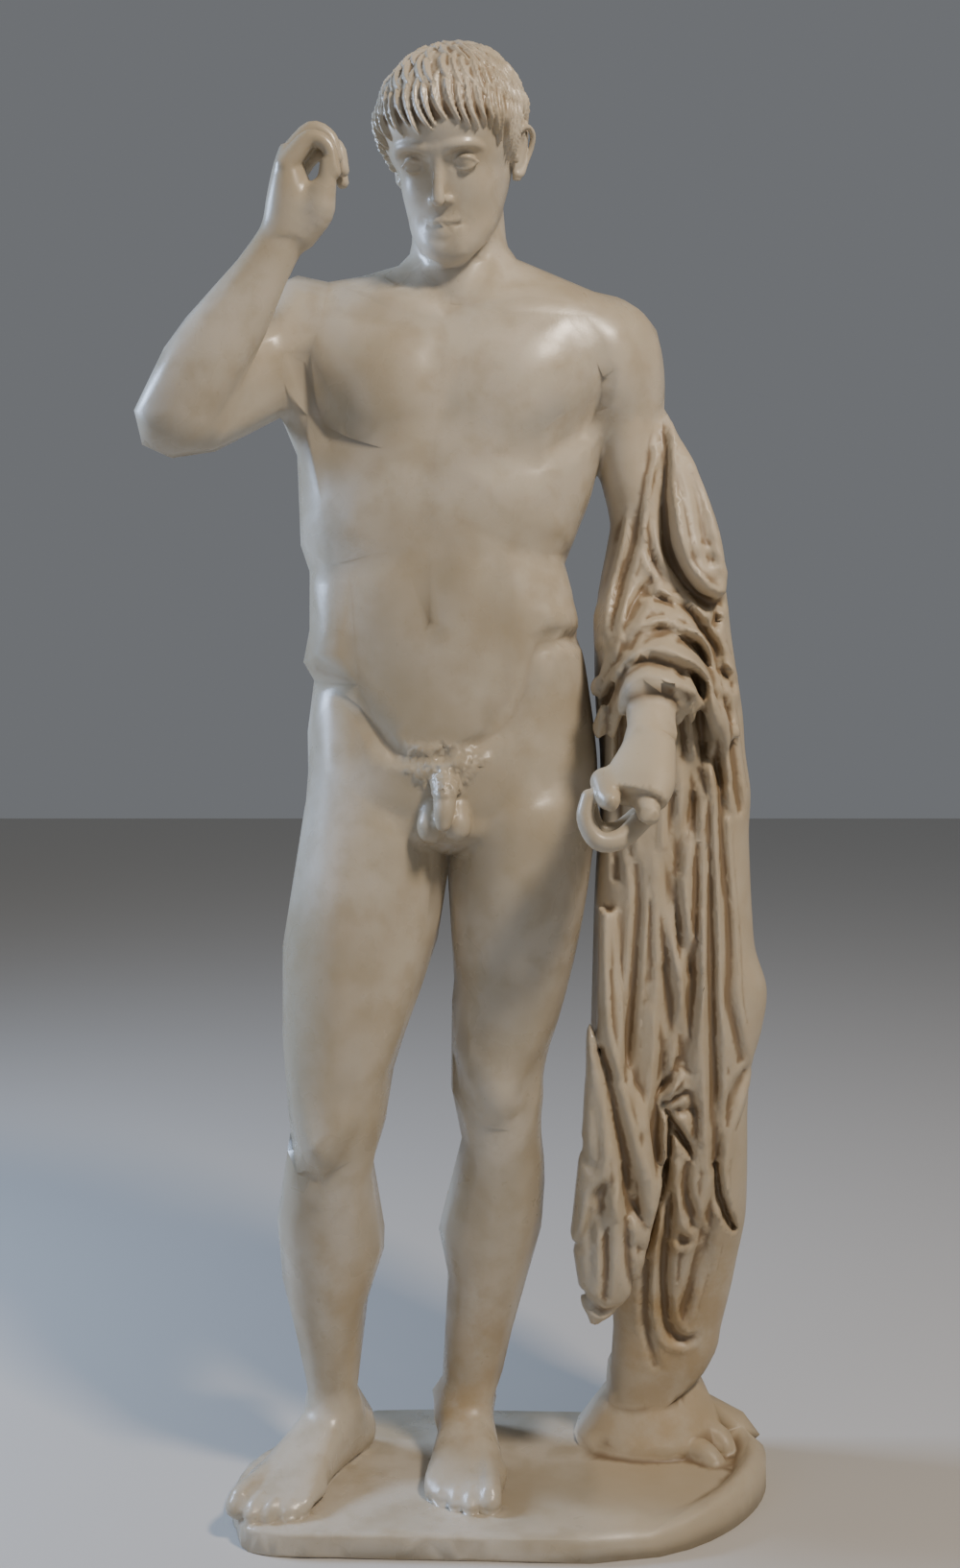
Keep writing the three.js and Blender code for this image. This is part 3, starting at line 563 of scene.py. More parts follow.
RIGHT_SHOULDER, RIGHT_ELBOW, RIGHT_WRIST = (-232, 8, 1458), (-378, -132, 1340), (-246, -150, 1545)
RIGHT_UPPER_ARM = [
    (-24, -30, 30, -34, 34),
    (10, -56, 52, -62, 54),
    (60, -56, 52, -60, 60),
    (120, -48, 46, -52, 60),
    (180, -42, 42, -44, 56),
    (225, -40, 40, -40, 48),
    (252, -30, 30, -28, 32),
]
leaning(RIGHT_SHOULDER, RIGHT_ELBOW, (0, 0, -1), RIGHT_UPPER_ARM, crease=22)
RIGHT_FOREARM = [
    (-34, -20, 20, -18, 18),
    (-14, -38, 37, -34, 34),
    (10, -44, 42, -40, 40),
    (45, -48, 44, -42, 42),
    (95, -46, 42, -40, 40),
    (150, -38, 36, -33, 34),
    (205, -29, 28, -25, 28),
    (246, -27, 26, -21, 27),
    (262, -27, 28, -20, 27),
]
leaning(RIGHT_ELBOW, RIGHT_WRIST, (0, 1, 0), RIGHT_FOREARM, crease=10)
tapering([(-384, -132, 1338, 36), (-368, -130, 1352, 40)], crease=16, room=30)
swell((-398, -138, 1324), (30, 30, 26), 4)

# ------------------------------------------------------------------------------------------------
# Right hand: palm to the head, the fingers arched over to meet the thumb in a ring.
# ------------------------------------------------------------------------------------------------

leaning(
    (-244, -148, 1540),
    (-240, -146, 1642),
    (0, 1, 0),
    [(0, -26, 26, -24, 30), (30, -26, 34, -30, 36), (60, -22, 26, -32, 42), (84, -17, 17, -30, 46), (100, -12, 12, -24, 42)],
    crease=8,
)
tapering([(-226, -150, 1545, 16), (-210, -158, 1568, 20), (-206, -162, 1586, 16)], crease=10)
tapering([(-204, -164, 1574, 13), (-197, -168, 1596, 11), (-195, -170, 1618, 9)], crease=8)
for back_by, rise, reach, drop in ((0, -2, 0, 0), (23, 14, 0, 6), (45, 10, 6, 2), (64, 0, 4, 4)):
    tapering(
        [
            (-242, -168 + back_by, 1618 + rise, 12.5),
            (-216, -171 + back_by, 1646 + rise, 10),
            (-195 + reach, -171 + back_by, 1638 + rise, 8.6),
            (-188 + reach, -171 + back_by, 1610 + rise + drop, 7.6),
        ],
        crease=2,
    )

# ------------------------------------------------------------------------------------------------
# Groin: the sex and the patch of small curls over it.
# ------------------------------------------------------------------------------------------------

for x, z, r in ((-82, 868, 17), (-52, 870, 16)):
    tapering([(x * 0.9 - 6, -96, z + 36, 10), (x, -112, z + 4, r), (x, -114, z - 4, r)], crease=6)
tapering([(-67, -100, 922, 14), (-66, -122, 908, 14), (-67, -134, 888, 12.5), (-68, -136, 872, 9)], crease=5)

curls = Relief(-140, 10, 890, 970, step=1.0)
curls.spot(-67, 938, 66, 34, 6)
for row, z in enumerate(np.arange(908, 962, 6.5)):
    half = np.interp(z, [900, 922, 946, 960], [14, 32, 54, 40])
    for x in np.arange(-67 - half + 4 * (row % 2), -67 + half, 8):
        curls.spot(x, z, 5.4, 4.8, 4.2)
        curls.spot(x + 1, z + 0.5, 2, 2, -2.6)
curls.press(-60, -20)

# ------------------------------------------------------------------------------------------------
# Neck and head. The head bows and turns to the figure's right. The face is a plain ideal one, drawn
# in the head's own axes: eyes at height 0, the face towards -Y.
# ------------------------------------------------------------------------------------------------

NECK = [
    (1440, -120, 20, -56, 72),
    (1480, -116, 16, -66, 66),
    (1510, -111, 11, -72, 54),
    (1540, -108, 9, -78, 40),
    (1580, -106, 5, -84, 26),
    (1630, -100, 0, -84, 14),
]
upright(NECK, square=2.1, crease=26)

HEAD_BOW, HEAD_TURN = math.radians(24), math.radians(-14)
bow = np.array([(1, 0, 0), (0, math.cos(HEAD_BOW), -math.sin(HEAD_BOW)), (0, math.sin(HEAD_BOW), math.cos(HEAD_BOW))])
turn = np.array([(math.cos(HEAD_TURN), -math.sin(HEAD_TURN), 0), (math.sin(HEAD_TURN), math.cos(HEAD_TURN), 0), (0, 0, 1)])
HEAD_POSE = (np.array((-54.0, -62.0, 1663.5)), turn @ bow, 0.955)
pose = HEAD_POSE

SKULL = [
    (-118, -14, 14, -88, -62),
    (-110, -32, 32, -97, -38),
    (-92, -49, 49, -98, -4),
    (-68, -59, 58, -96, 44),
    (-40, -66, 65, -94, 80),
    (-10, -71, 70, -92, 97),
    (20, -80, 75, -95, 103),
    (48, -85, 79, -94, 104),
    (70, -68, 64, -72, 86),
]
upright(SKULL, square=2.15, crease=8)
tapering([(-3, -17, 33, 80), (-3, 29, 33, 82)], crease=10, room=30)
for side in (-1, 1):
    # An eye: the socket, the brow over it, the ball and its two lids.
    swell((side * 31, -97, 0), (25, 30, 17), -9)
    chisel([(side * 8, -97, 13, 11, 2), (side * 27, -98, 17, 12, 5.5), (side * 45, -89, 16, 12, 5), (side * 60, -74, 7, 10, 2)])
    tapering([(side * 31, -78, -3, 12), (side * 31.6, -78, -3, 12)], crease=2.5)
    lid = [(side * 17.5, -83, -5, 1.6), (side * 23, -86.6, 1, 2.2), (side * 31, -88.4, 3.4, 2.6), (side * 39, -86.2, 1.6, 2.3)]
    tapering(lid + [(side * 47, -80.5, -4.4, 1.4)], crease=2.6)
    lid = [(side * 17.5, -84, -5, 1.2), (side * 24, -87.6, -9.6, 1.4), (side * 31, -88.8, -11, 1.4), (side * 39, -86.4, -9.2, 1.4)]
    tapering(lid + [(side * 46.5, -81, -4.8, 1.3)], crease=3)
    chisel([(side * 19, -90, 7, 4, -1.2), (side * 31, -92, 10.5, 4.5, -2), (side * 44, -87, 7, 4, -1.2)])
    swell((side * 45, -72, -34), (34, 40, 34), 3.5)
    swell((side * 66, -60, 20), (22, 34, 30), -2.5)
# The nose, straight from the brow, with its two wings.
tapering([(0, -89, 14, 8), (0, -93.5, -6, 6.6), (0, -101, -26, 6.8), (0, -107, -41, 7.8)], crease=8)
for side in (-1, 1):
    tapering([(side * 8.5, -97, -43, 5), (side * 10.5, -92, -44, 4.6)], crease=4)
    swell((side * 6, -102, -50.5), (4.6, 7, 4), -4)
# Lips, closed and level, and the chin.
for side in (-1, 1):
    tapering([(0, -97.2, -67.6, 4), (side * 6, -97.4, -66.8, 4.2), (side * 15, -93.6, -68.8, 3.4), (side * 24, -87, -71.6, 1.6)], crease=4)
    tapering([(0, -96, -77.4, 5), (side * 9, -95.2, -77, 4.6), (side * 20, -90, -74.4, 2.2)], crease=4)
    chisel([(0, -102, -72.4, 2.8, -3), (side * 14, -97, -72, 2.8, -2.8), (side * 25, -88, -71.6, 3.2, -1.8)])
    swell((side * 27, -86, -71), (8, 12, 8), -1.6)
chisel([(0, -97, -53, 5, -0.8), (0, -99, -62, 5, -1.2)])
tapering([(-8, -83, -101, 17), (8, -83, -101, 17)], crease=20)
chisel([(-15, -93, -87, 9, -1.6), (0, -96, -88, 10, -2.6), (15, -93, -87, 9, -1.6)])

# Hair: a close cap of comma-shaped locks that lie away from the crown. The sheet is drawn as seen
# from over the crown, so p is sideways and q is forward, in millimetres over the scalp.
scalp_centre = np.array((-3.0, 8.0, 6.0))
crown, forward = np.array((0.0, 0.42, 0.9075)), np.array((0.0, -0.9075, 0.42))
SCALP = 105.0
HAIRLINE = [(0, 168), (42, 168), (58, 178), (72, 206), (80, 200), (88, 160), (100, 164), (121, 186), (150, 190), (180, 188)]


def hairline(angle):
    turned = np.abs((angle + 180) % 360 - 180)
    return np.interp(turned, *zip(*HAIRLINE))


hair = Relief(-240, 240, -240, 240, step=1.0)
bearing = np.degrees(np.arctan2(hair.p, hair.q))
run = np.hypot(hair.p, hair.q)
hair.height += 4.5 * np.clip((hairline(bearing) - 8 - run) / 8, 0, 1).astype(np.float32)
chance = np.random.default_rng(11)


def lock(angle, start, end, wide, hook, high):
    """One lock: it leaves the crown at an angle, swings out and hooks back at its tip."""
    t = np.linspace(0, 1, 7)
    out = start + (end - start) * t
    aside = hook * (1.1 * t**3 - 0.55 * np.sin(math.pi * t))
    spread = 1 + 0.45 * (out / 168) ** 2
    path_angle = math.radians(angle) + aside * spread / np.maximum(out, 12)
    p, q = out * np.sin(path_angle), out * np.cos(path_angle)
    width = wide * spread * np.array((0.5, 0.8, 1.0, 1.0, 0.86, 0.6, 0.2))
    push = np.array((6, 8, 10, 11, 11, 9.5, 6)) * high
    hair.stroke(list(zip(p, q, width, push)), steps=3, merge=True)
    for shift in (-0.36, 0.3):
        groove = path_angle + shift * width / np.maximum(out, 12)
        gp, gq = out * np.sin(groove), out * np.cos(groove)
        hair.stroke(list(zip(gp[1:6], gq[1:6], [2.6] * 5, [-0.8, -2.2, -2.6, -2.4, -1.0])), steps=3)


for count, start, end, wide, spare in ((58, 112, 0, 6.4, 8), (46, 82, 142, 6.6, 0), (32, 50, 106, 6.8, 0), (20, 24, 74, 6.6, 0), (11, 3, 42, 6.2, 0)):
    for k in range(count):
        angle = (k + 0.5 * (count % 4 == 0)) * 360 / count + chance.uniform(-0.22, 0.22) * 360 / count
        reach = (end or hairline(angle) + spare) + chance.uniform(-8, 8)
        lock(angle, start + chance.uniform(-8, 8), reach, wide * chance.uniform(0.85, 1.1), chance.uniform(7, 12), chance.uniform(0.92, 1.06))

calm = blurred(blurred(hair.height, 7), 7)
hair.height = np.where(run < 12, 5, calm + (hair.height - calm) * np.clip((run - 12) / 26, 0, 1)).astype(np.float32)
cut, x, y, z = part_of_block((-116, -128, -110), (112, 136, 146))
off = [x - scalp_centre[0], y - scalp_centre[1], z - scalp_centre[2]]
far = np.sqrt(off[0] ** 2 + off[1] ** 2 + off[2] ** 2)
lift = np.clip(sum(off[k] * crown[k] for k in range(3)) / far, -1, 1)
ahead = sum(off[k] * forward[k] for k in range(3)) / far
arc = SCALP * np.arccos(lift) / np.sqrt(np.maximum(1 - lift**2, 1e-4))
share = np.clip((140 - far) / 12, 0, 1)
marble[cut] -= (hair.read(arc * off[0] / far, arc * ahead) * share).astype(np.float32)
del off, far, lift, ahead, arc, share

for side in (-1, 1):
    # An ear: a leaning plate with a rolled rim, a hollow bowl and a soft lobe.
    plate = [(0, -6, 6, -4, 4), (12, -10, 9, -4, 4), (32, -14, 14, -4, 4), (50, -15, 13, -4, 4), (62, -8, 7, -4, 4)]
    leaning((side * 73, 4, -42), (side * 81, 16, 20), (side * 0.9, -0.45, 0), plate, square=2.0, crease=4, room=20)
    rim = [(75, -4, -6, 3), (77, -4, 8, 3.4), (84, 5, 18, 3.6), (90, 18, 17, 3.6), (93, 27, 6, 3.6), (89, 26, -10, 3.4)]
    rim += [(83, 18, -24, 3.4), (78, 8, -34, 5), (75, 2, -34, 4)]
    tapering([(side * x, y, z, r) for x, y, z, r in rim], crease=3)
    chisel([(side * 84, 2, 8, 8, -5), (side * 86, 8, -2, 9, -6), (side * 84, 4, -14, 8, -6), (side * 80, -1, -22, 6, -3)])
    chisel([(side * 90, 16, 12, 5, -2.5), (side * 91, 19, 0, 5, -2.5), (side * 87, 15, -14, 5, -2)])
    tapering([(side * 77, -6, -12, 3.6), (side * 77, -5, -17, 3.4)], crease=3)
pose = UPRIGHT

# ------------------------------------------------------------------------------------------------
# Cloak: it hangs from the left upper arm, wraps the forearm and falls to the tortoise. It is carved
# apart from the body first, so that its folds cut only the cloth, and then joined.
# ------------------------------------------------------------------------------------------------

body, marble = marble, np.full_like(marble, AIR)
FALL = [
    (84, 146, 232, 14, 100),
    (99, 140, 253, 8, 108),
    (125, 143, 260, 4, 112),
    (150, 144, 273, 0, 112),
    (176, 145, 284, -3, 110),
    (202, 146, 288, -6, 108),
    (253, 142, 298, -17, 106),
    (304, 134, 306, -30, 104),
    (355, 128, 313, -46, 102),
    (405, 124, 314, -58, 100),
    (456, 122, 313, -66, 98),
    (506, 118, 312, -72, 97),
    (556, 116, 315, -77, 96),
    (606, 116, 328, -80, 95),
    (656, 117, 333, -82, 94),
    (706, 118, 318, -83, 92),
    (755, 119, 313, -84, 91),
    (804, 121, 310, -84, 90),
    (853, 124, 308, -84, 90),
    (902, 126, 309, -84, 89),
    (951, 125, 302, -84, 88),
    (1000, 120, 298, -84, 88),
    (1048, 118, 290, -82, 87),
    (1097, 118, 283, -78, 86),
    (1145, 122, 277, -72, 84),
    (1193, 131, 270, -64, 80),
    (1241, 140, 258, -58, 74),
    (1289, 150, 241, -54, 66),
    (1330, 166, 220, -46, 54),
    (1356, 184, 206, -30, 36),
    (1368, 192, 202, -14, 22),
]
upright(FALL, square=2.9, crease=4)
PANEL = [
    (243, 112, 122, -66, -52),
    (256, 107, 138, -74, -44),
    (280, 100, 160, -84, -30),
    (300, 96, 168, -90, -24),
    (350, 90, 184, -96, -20),
    (405, 92, 198, -100, -24),
    (470, 98, 190, -100, -40),
    (560, 106, 160, -96, -40),
    (660, 112, 146, -90, -40),
    (760, 120, 140, -82, -40),
]
upright(PANEL, square=2.5, crease=6)
POUCH = [
    (1134, 240, 262, -82, -44),
    (1142, 230, 267, -88, -36),
    (1160, 217, 270, -92, -24),
    (1185, 204, 268, -90, -14),
    (1220, 197, 262, -84, -4),
    (1260, 194, 250, -74, 4),
    (1300, 194, 234, -62, 8),
    (1340, 194, 212, -44, 6),
    (1360, 193, 204, -30, 2),
]
upright(POUCH, square=2.3, crease=4)
SLEEVE = [
    (-20, -50, 56, -58, 40),
    (20, -58, 70, -62, 50),
    (70, -56, 64, -56, 56),
    (110, -50, 54, -48, 52),
    (150, -46, 48, -42, 44),
    (172, -43, 45, -38, 38),
    (180, -41, 43, -36, 35),
]
leaning((186, -6, 1118), (179, -158, 1010), (0, -0.3, -1), SLEEVE, square=2.3, crease=14)
for z, ahead in ((1086, 0), (1040, 26)):
    tapering(
        [(124, -58 - ahead, z - 56, 14), (146, -90 - ahead, z - 18, 17), (184, -104 - ahead, z - 2, 18)]
        + [(226, -92 - ahead, z - 18, 18), (268, -54 - ahead, z - 64, 16)],
        crease=14,
    )

folds = Relief(80, 345, 60, 1380)


def fold(*knots):
    """A furrow in the cloth: a broad hollow with a narrow cut along its bottom and a crest on each side."""
    folds.stroke([(x, z, wide * 3.2, push * 0.8) for x, z, wide, push in knots], steps=5)
    folds.stroke([(x, z, wide * 1.7, push * 0.4) for x, z, wide, push in knots], steps=5)
    if len(knots) > 3:
        line = np.array(knots, float)
        ahead = np.gradient(line[:, :2], axis=0)
        aside = np.column_stack([-ahead[:, 1], ahead[:, 0]]) / np.hypot(*ahead.T)[:, None]
        for side in (-1, 1):
            spots = line[:, :2] + side * aside * line[:, 2:3] * 2.5
            folds.stroke(list(zip(*spots.T, line[:, 2] * 1.7, line[:, 3] * -0.3)), steps=5)
        spots = line[1:-1, :2] + aside[1:-1] * line[1:-1, 2:3] * 3.4
        folds.stroke(list(zip(*spots.T, line[1:-1, 2] * 0.7, np.full(len(spots), -1.8))), steps=5)


# From the tuck over the arm.
fold((178, 1335, 4, -1), (163, 1300, 4, -2), (150, 1270, 4, -3), (141, 1225, 4, -3), (131, 1172, 4, -3), (124, 1140, 4, -3), (118, 1100, 4, -3), (114, 1050, 4, -2))
fold((180, 1325, 5, -2), (168, 1300, 6, -4), (160, 1270, 6, -5), (151, 1232, 6, -4), (144, 1212, 5, -2))
fold((178, 1312, 4, -3), (171, 1290, 4, -6), (167, 1260, 4, -8), (162, 1225, 4, -9), (155, 1190, 4, -9), (146, 1160, 4, -9), (138, 1130, 4, -8), (131, 1095, 4, -7), (124, 1068, 4, -5), (118, 1046, 4, -3))
fold((187, 1335, 4, -3), (183, 1300, 4, -6), (182, 1250, 4, -7), (181, 1205, 4, -8), (184, 1183, 4, -9), (200, 1157, 4, -10), (222, 1128, 4, -10), (240, 1102, 4, -9), (258, 1068, 4, -7))
fold((166, 1228, 5, -2), (167, 1206, 5, -4), (174, 1188, 5, -2))
fold((197, 1350, 4, -5), (195, 1320, 4.5, -9), (194, 1270, 4.5, -13), (195, 1225, 5, -16), (201, 1192, 5.5, -20), (218, 1158, 6, -22), (236, 1140, 6, -20), (252, 1131, 6, -16), (264, 1132, 5, -10))
fold((200, 1325, 5, -3), (210, 1282, 6, -6), (222, 1245, 6, -7), (231, 1208, 6, -6), (237, 1188, 5, -3))
fold((212, 1322, 4, -3), (224, 1288, 4, -6), (235, 1252, 4.5, -9), (242, 1215, 5, -11), (249, 1184, 5, -9))
fold((214, 1194, 5, -2), (226, 1183, 7, -5), (242, 1176, 8, -7), (252, 1162, 7, -8), (256, 1152, 5, -4))
folds.stroke([(204, 1300, 10, 3), (212, 1250, 14, 6), (214, 1210, 14, 5), (218, 1180, 12, 2)])
# Across and round the forearm.
fold((180, 1160, 4, -5), (168, 1142, 5, -10), (156, 1120, 5, -10), (145, 1098, 4.5, -8), (136, 1074, 4, -6), (128, 1052, 4, -5), (122, 1030, 4, -4), (120, 1010, 4, -2))
fold((171, 1144, 3.5, -4), (182, 1138, 4, -7), (202, 1131, 4, -7), (222, 1123, 4, -4))
fold((139, 1060, 4, -4), (147, 1079, 4, -7), (156, 1094, 4, -6), (167, 1103, 4, -2))
fold((148, 1079, 4, -5), (164, 1089, 5, -10), (182, 1096, 5.5, -12), (196, 1101, 5, -8), (206, 1103, 4, -3))
fold((188, 1095, 5, -8), (208, 1089, 5.5, -13), (230, 1077, 6, -15), (248, 1061, 6, -15), (264, 1044, 6, -13), (276, 1034, 5, -8))
fold((125, 940, 4, -4), (126, 980, 4, -7), (129, 1014, 4, -8), (138, 1040, 4, -8), (152, 1054, 5, -9), (168, 1062, 5.5, -11), (190, 1057, 6, -13), (214, 1047, 6, -13), (228, 1038, 6, -12), (235, 1026, 5, -10))
fold((234, 1030, 5, -12), (238, 1008, 5.5, -17), (242, 984, 6, -20), (249, 956, 6, -18), (259, 934, 5, -14), (264, 918, 5, -8))
fold((205, 1044, 4, -4), (210, 1033, 4, -8), (219, 1019, 4, -8), (228, 1004, 4, -4))
folds.spot(258, 1112, 10, 17, -17)
fold((247, 1100, 5, -10), (256, 1080, 5, -13), (263, 1063, 5, -11), (271, 1048, 4, -6))
fold((236, 1078, 4, -4), (246, 1054, 4, -7), (254, 1016, 4, -8), (259, 976, 4, -8), (264, 938, 4, -8), (268, 900, 4, -8), (272, 880, 4, -6))
fold((254, 1048, 4, -4), (265, 1022, 4, -6), (274, 986, 4, -6), (280, 946, 4, -6), (284, 908, 4.5, -8), (288, 884, 4, -6))
folds.stroke([(222, 1100, 10, 4), (244, 1082, 12, 5), (262, 1060, 10, 3)])
folds.stroke([(150, 1068, 12, 3), (186, 1074, 14, 5), (220, 1062, 12, 4)])
folds.stroke([(146, 1026, 10, 3), (180, 1036, 12, 4), (212, 1026, 10, 3)])
# The long fall: its vertical folds, left to right.
fold((141, 996, 4, -5), (142, 960, 4, -7), (142, 880, 4, -7), (141, 800, 4, -5))
fold((150, 1000, 4, -5), (148, 965, 4, -6), (150, 880, 4, -6), (154, 830, 4, -4))
fold((216, 1006, 4, -4), (218, 975, 4, -7), (221, 945, 4, -7), (222, 922, 4, -4))
fold((228, 1002, 4, -4), (233, 985, 4, -6), (238, 966, 4, -4))
fold((240, 962, 5, -8), (236, 935, 6, -15), (231, 900, 6, -17), (224, 866, 6, -16), (218, 838, 5, -11), (214, 812, 4, -6))
fold((243, 958, 4, -5), (247, 900, 4, -9), (250, 840, 4, -9), (252, 760, 4, -9), (255, 690, 4, -9), (258, 610, 4.5, -11), (261, 550, 5, -13), (262, 490, 5, -13), (265, 440, 5, -12))
fold((257, 945, 4, -4), (262, 900, 4, -8), (267, 830, 4, -8), (274, 760, 4, -8), (277, 700, 4.5, -8), (277, 655, 5, -8), (284, 618, 5, -9), (294, 575, 5, -7))
fold((204, 900, 4, -6), (207, 850, 5, -12), (206, 805, 5, -13), (210, 765, 5, -14), (218, 724, 5.5, -15), (228, 690, 5, -9))
fold((234, 895, 4, -5), (236, 840, 4.5, -10), (236, 780, 4.5, -11), (234, 720, 4.5, -11), (231, 670, 5, -12), (227, 610, 5, -13), (224, 570, 5, -9))
fold((194, 830, 4, -5), (197, 775, 4.5, -9), (199, 715, 4.5, -10), (206, 660, 5, -11), (214, 605, 5, -12), (217, 570, 5, -9))
fold((164, 815, 4, -4), (166, 770, 4, -7), (163, 705, 4, -8), (159, 640, 4, -8), (156, 595, 4, -7), (150, 558, 4, -3))
fold((178, 800, 4, -2), (181, 740, 5, -4), (182, 680, 5, -3))
fold((132, 760, 4, -3), (134, 700, 4, -5), (137, 645, 4, -5), (134, 600, 4, -2))
fold((118, 750, 4, -5), (117, 690, 4.5, -8), (117, 640, 5, -10), (121, 600, 5.5, -13), (129, 558, 6, -17), (139, 512, 6.5, -19), (148, 472, 7, -22), (157, 430, 9, -26), (163, 398, 8, -18))
fold((122, 590, 4, -5), (131, 568, 4.5, -7), (143, 553, 4, -3))
fold((196, 690, 4, -5), (199, 640, 5, -10), (200, 600, 5, -12), (198, 560, 5.5, -14), (194, 525, 5, -13), (190, 490, 5, -12), (192, 455, 5, -10), (197, 436, 4, -5))
folds.stroke([(214, 578, 6, -8), (211, 562, 8, -14), (204, 549, 8, -16), (196, 538, 6, -10)])
folds.stroke([(222, 572, 5, 2), (219, 556, 5, 5), (209, 543, 5, 6), (198, 533, 5, 6), (195, 522, 5, 5), (199, 508, 5, 3)])
folds.stroke([(201, 522, 6, -9), (213, 529, 7, -12), (226, 538, 6, -6)])
fold((203, 516, 4, -6), (218, 514, 4.5, -9), (233, 514, 4, -6))
folds.stroke([(204, 512, 6, -16), (213, 494, 9, -26), (223, 478, 9, -28), (232, 462, 7, -20), (236, 452, 4, -6)])
folds.stroke([(206, 500, 5, -14), (208, 474, 7, -24), (207, 452, 5, -18), (206, 436, 5, -10)])
fold((231, 534, 4, -5), (237, 518, 4.5, -8), (242, 503, 4, -3))
fold((236, 512, 4, -5), (238, 490, 4, -8), (235, 470, 4, -6))
fold((300, 556, 5, -6), (291, 540, 6, -10), (281, 515, 6, -11), (273, 488, 5, -10), (269, 455, 5, -8))
fold((113, 570, 4, -3), (116, 520, 4, -5), (118, 480, 4, -5), (117, 452, 4, -3))
fold((118, 545, 4, -2), (123, 510, 4, -5), (129, 478, 4, -5), (132, 460, 4, -2))
fold((100, 475, 4, -3), (106, 455, 4, -5), (114, 441, 4, -2))
folds.stroke([(240, 760, 9, 3), (243, 680, 10, 4), (240, 600, 12, 5), (245, 540, 14, 5), (250, 480, 14, 4)])
folds.stroke([(180, 640, 14, 3), (178, 560, 16, 5), (172, 500, 14, 4)])
# The bundle in front, down to its tied tip.
fold((133, 455, 4, -5), (132, 435, 5, -11), (121, 414, 6.5, -17), (117, 397, 6, -14), (108, 366, 5, -11), (97, 345, 5, -6))
fold((124, 400, 4, -6), (127, 365, 4, -8), (128, 325, 4, -8), (127, 286, 4, -5))
fold((113, 392, 4, -3), (112, 350, 4, -6), (113, 298, 4, -3))
fold((150, 445, 4, -5), (152, 400, 4, -7), (154, 345, 4, -7), (158, 312, 4, -6), (164, 292, 4, -3))
fold((163, 402, 5, -8), (170, 386, 4.5, -8), (179, 370, 4, -3))
fold((157, 356, 4, -2), (168, 347, 4, -4), (181, 339, 4, -2))
fold((104, 284, 4, -6), (113, 274, 4.5, -9), (126, 264, 4, -8), (140, 268, 4, -4))
folds.stroke([(206, 446, 6, -14), (203, 425, 8, -24), (197, 396, 9, -28), (191, 366, 9, -28), (185, 338, 7, -24), (180, 318, 5, -14)])
fold((207, 440, 4.5, -9), (208, 395, 5, -13), (207, 345, 5, -14), (206, 300, 5, -14), (208, 258, 5, -13), (213, 226, 5.5, -13), (222, 206, 6, -13), (236, 199, 5, -9), (248, 202, 4, -4))
fold((184, 330, 4, -4), (184, 290, 4, -6), (184, 240, 4, -5), (190, 200, 4, -5), (199, 165, 4, -3))
fold((231, 446, 4, -6), (227, 425, 5, -10), (228, 408, 5, -11), (235, 384, 5, -10), (243, 362, 4.5, -8), (250, 348, 4, -3))
fold((211, 405, 4, -3), (212, 370, 5, -7), (219, 350, 5, -8), (230, 342, 5, -7), (242, 344, 4, -3))
fold((266, 440, 4, -5), (266, 410, 5, -9), (261, 380, 5, -11), (255, 345, 5.5, -13), (248, 310, 5.5, -13), (241, 275, 5, -12), (234, 245, 5, -10), (229, 222, 4, -5))
folds.stroke([(267, 440, 6, -10), (271, 412, 8, -20), (276, 390, 10, -26), (283, 370, 9, -24), (293, 352, 6, -12)])
fold((270, 366, 4, -3), (264, 335, 4.5, -6), (259, 300, 4.5, -6), (253, 272, 4, -3))
# Between the furrows the cloth swells, more where they lie close.
for reach, lift in ((7, 0.4), (18, 0.6)):
    valley = blurred(blurred(folds.height, int(reach / folds.step)), int(reach / folds.step))
    folds.height += lift * np.clip(-valley, 0, 14)
front_of_cloth = np.interp(axes[2], [60, 200, 300, 400, 500, 1380], [34, 22, 6, -14, -26, -26])

cut, x, y, z = part_of_block((80, -290, 60), (345, 80, 1380))
reach = np.interp(z, axes[2], front_of_cloth).astype(np.float32)
share = np.clip((reach + 34 - y) / 34, 0, 1)
marble[cut] -= folds.read(x, z) * share
# The hem rises to the right over the shell.
hem = (94 + np.interp(x, [137, 165, 200, 248, 270], [16, -8, 2, 36, 56]) - z).astype(np.float32)
marble[cut] = np.maximum(marble[cut], hem * np.clip((96 - y) / 40, 0, 1) - 30 * np.clip((y - 56) / 40, 0, 1))

# Behind, the cloak falls in a few plain folds.
fall_behind = Relief(100, 345, 90, 1300)
for x, top, foot in ((150, 1260, 150), (186, 1330, 120), (222, 1330, 140), (258, 1200, 180), (290, 960, 420)):
    fall_behind.stroke([(x + 6, top, 8, -3), (x + 2, (top + foot) / 2 + 80, 13, -9), (x - 4, (top + foot) / 2 - 120, 13, -9), (x, foot, 9, -4)])
    fall_behind.stroke([(x + 20, top, 10, 2), (x + 18, (top + foot) / 2, 16, 6), (x + 16, foot, 12, 3)])
fall_behind.press(60, 20)

# The outer edge behind is broken away and left rough.
for at, size in (((306, 60, 800), (34, 60, 110)), ((318, 50, 665), (34, 60, 60)), ((300, 60, 560), (24, 50, 60))):
    broken(at, size, 9, 9)
    broken(at, size, 4, 4)

cloth, marble = marble, body
cut, x, y, z = part_of_block((70, -290, 60), (360, 160, 1400))
join(cut, cloth[cut], 3)
del body, cloth

# ------------------------------------------------------------------------------------------------
# Left forearm and hand, which come out of the cloak's cuff. The hand once held something: thumb and
# forefinger are broken off, and the other fingers curl back under the palm.
# ------------------------------------------------------------------------------------------------

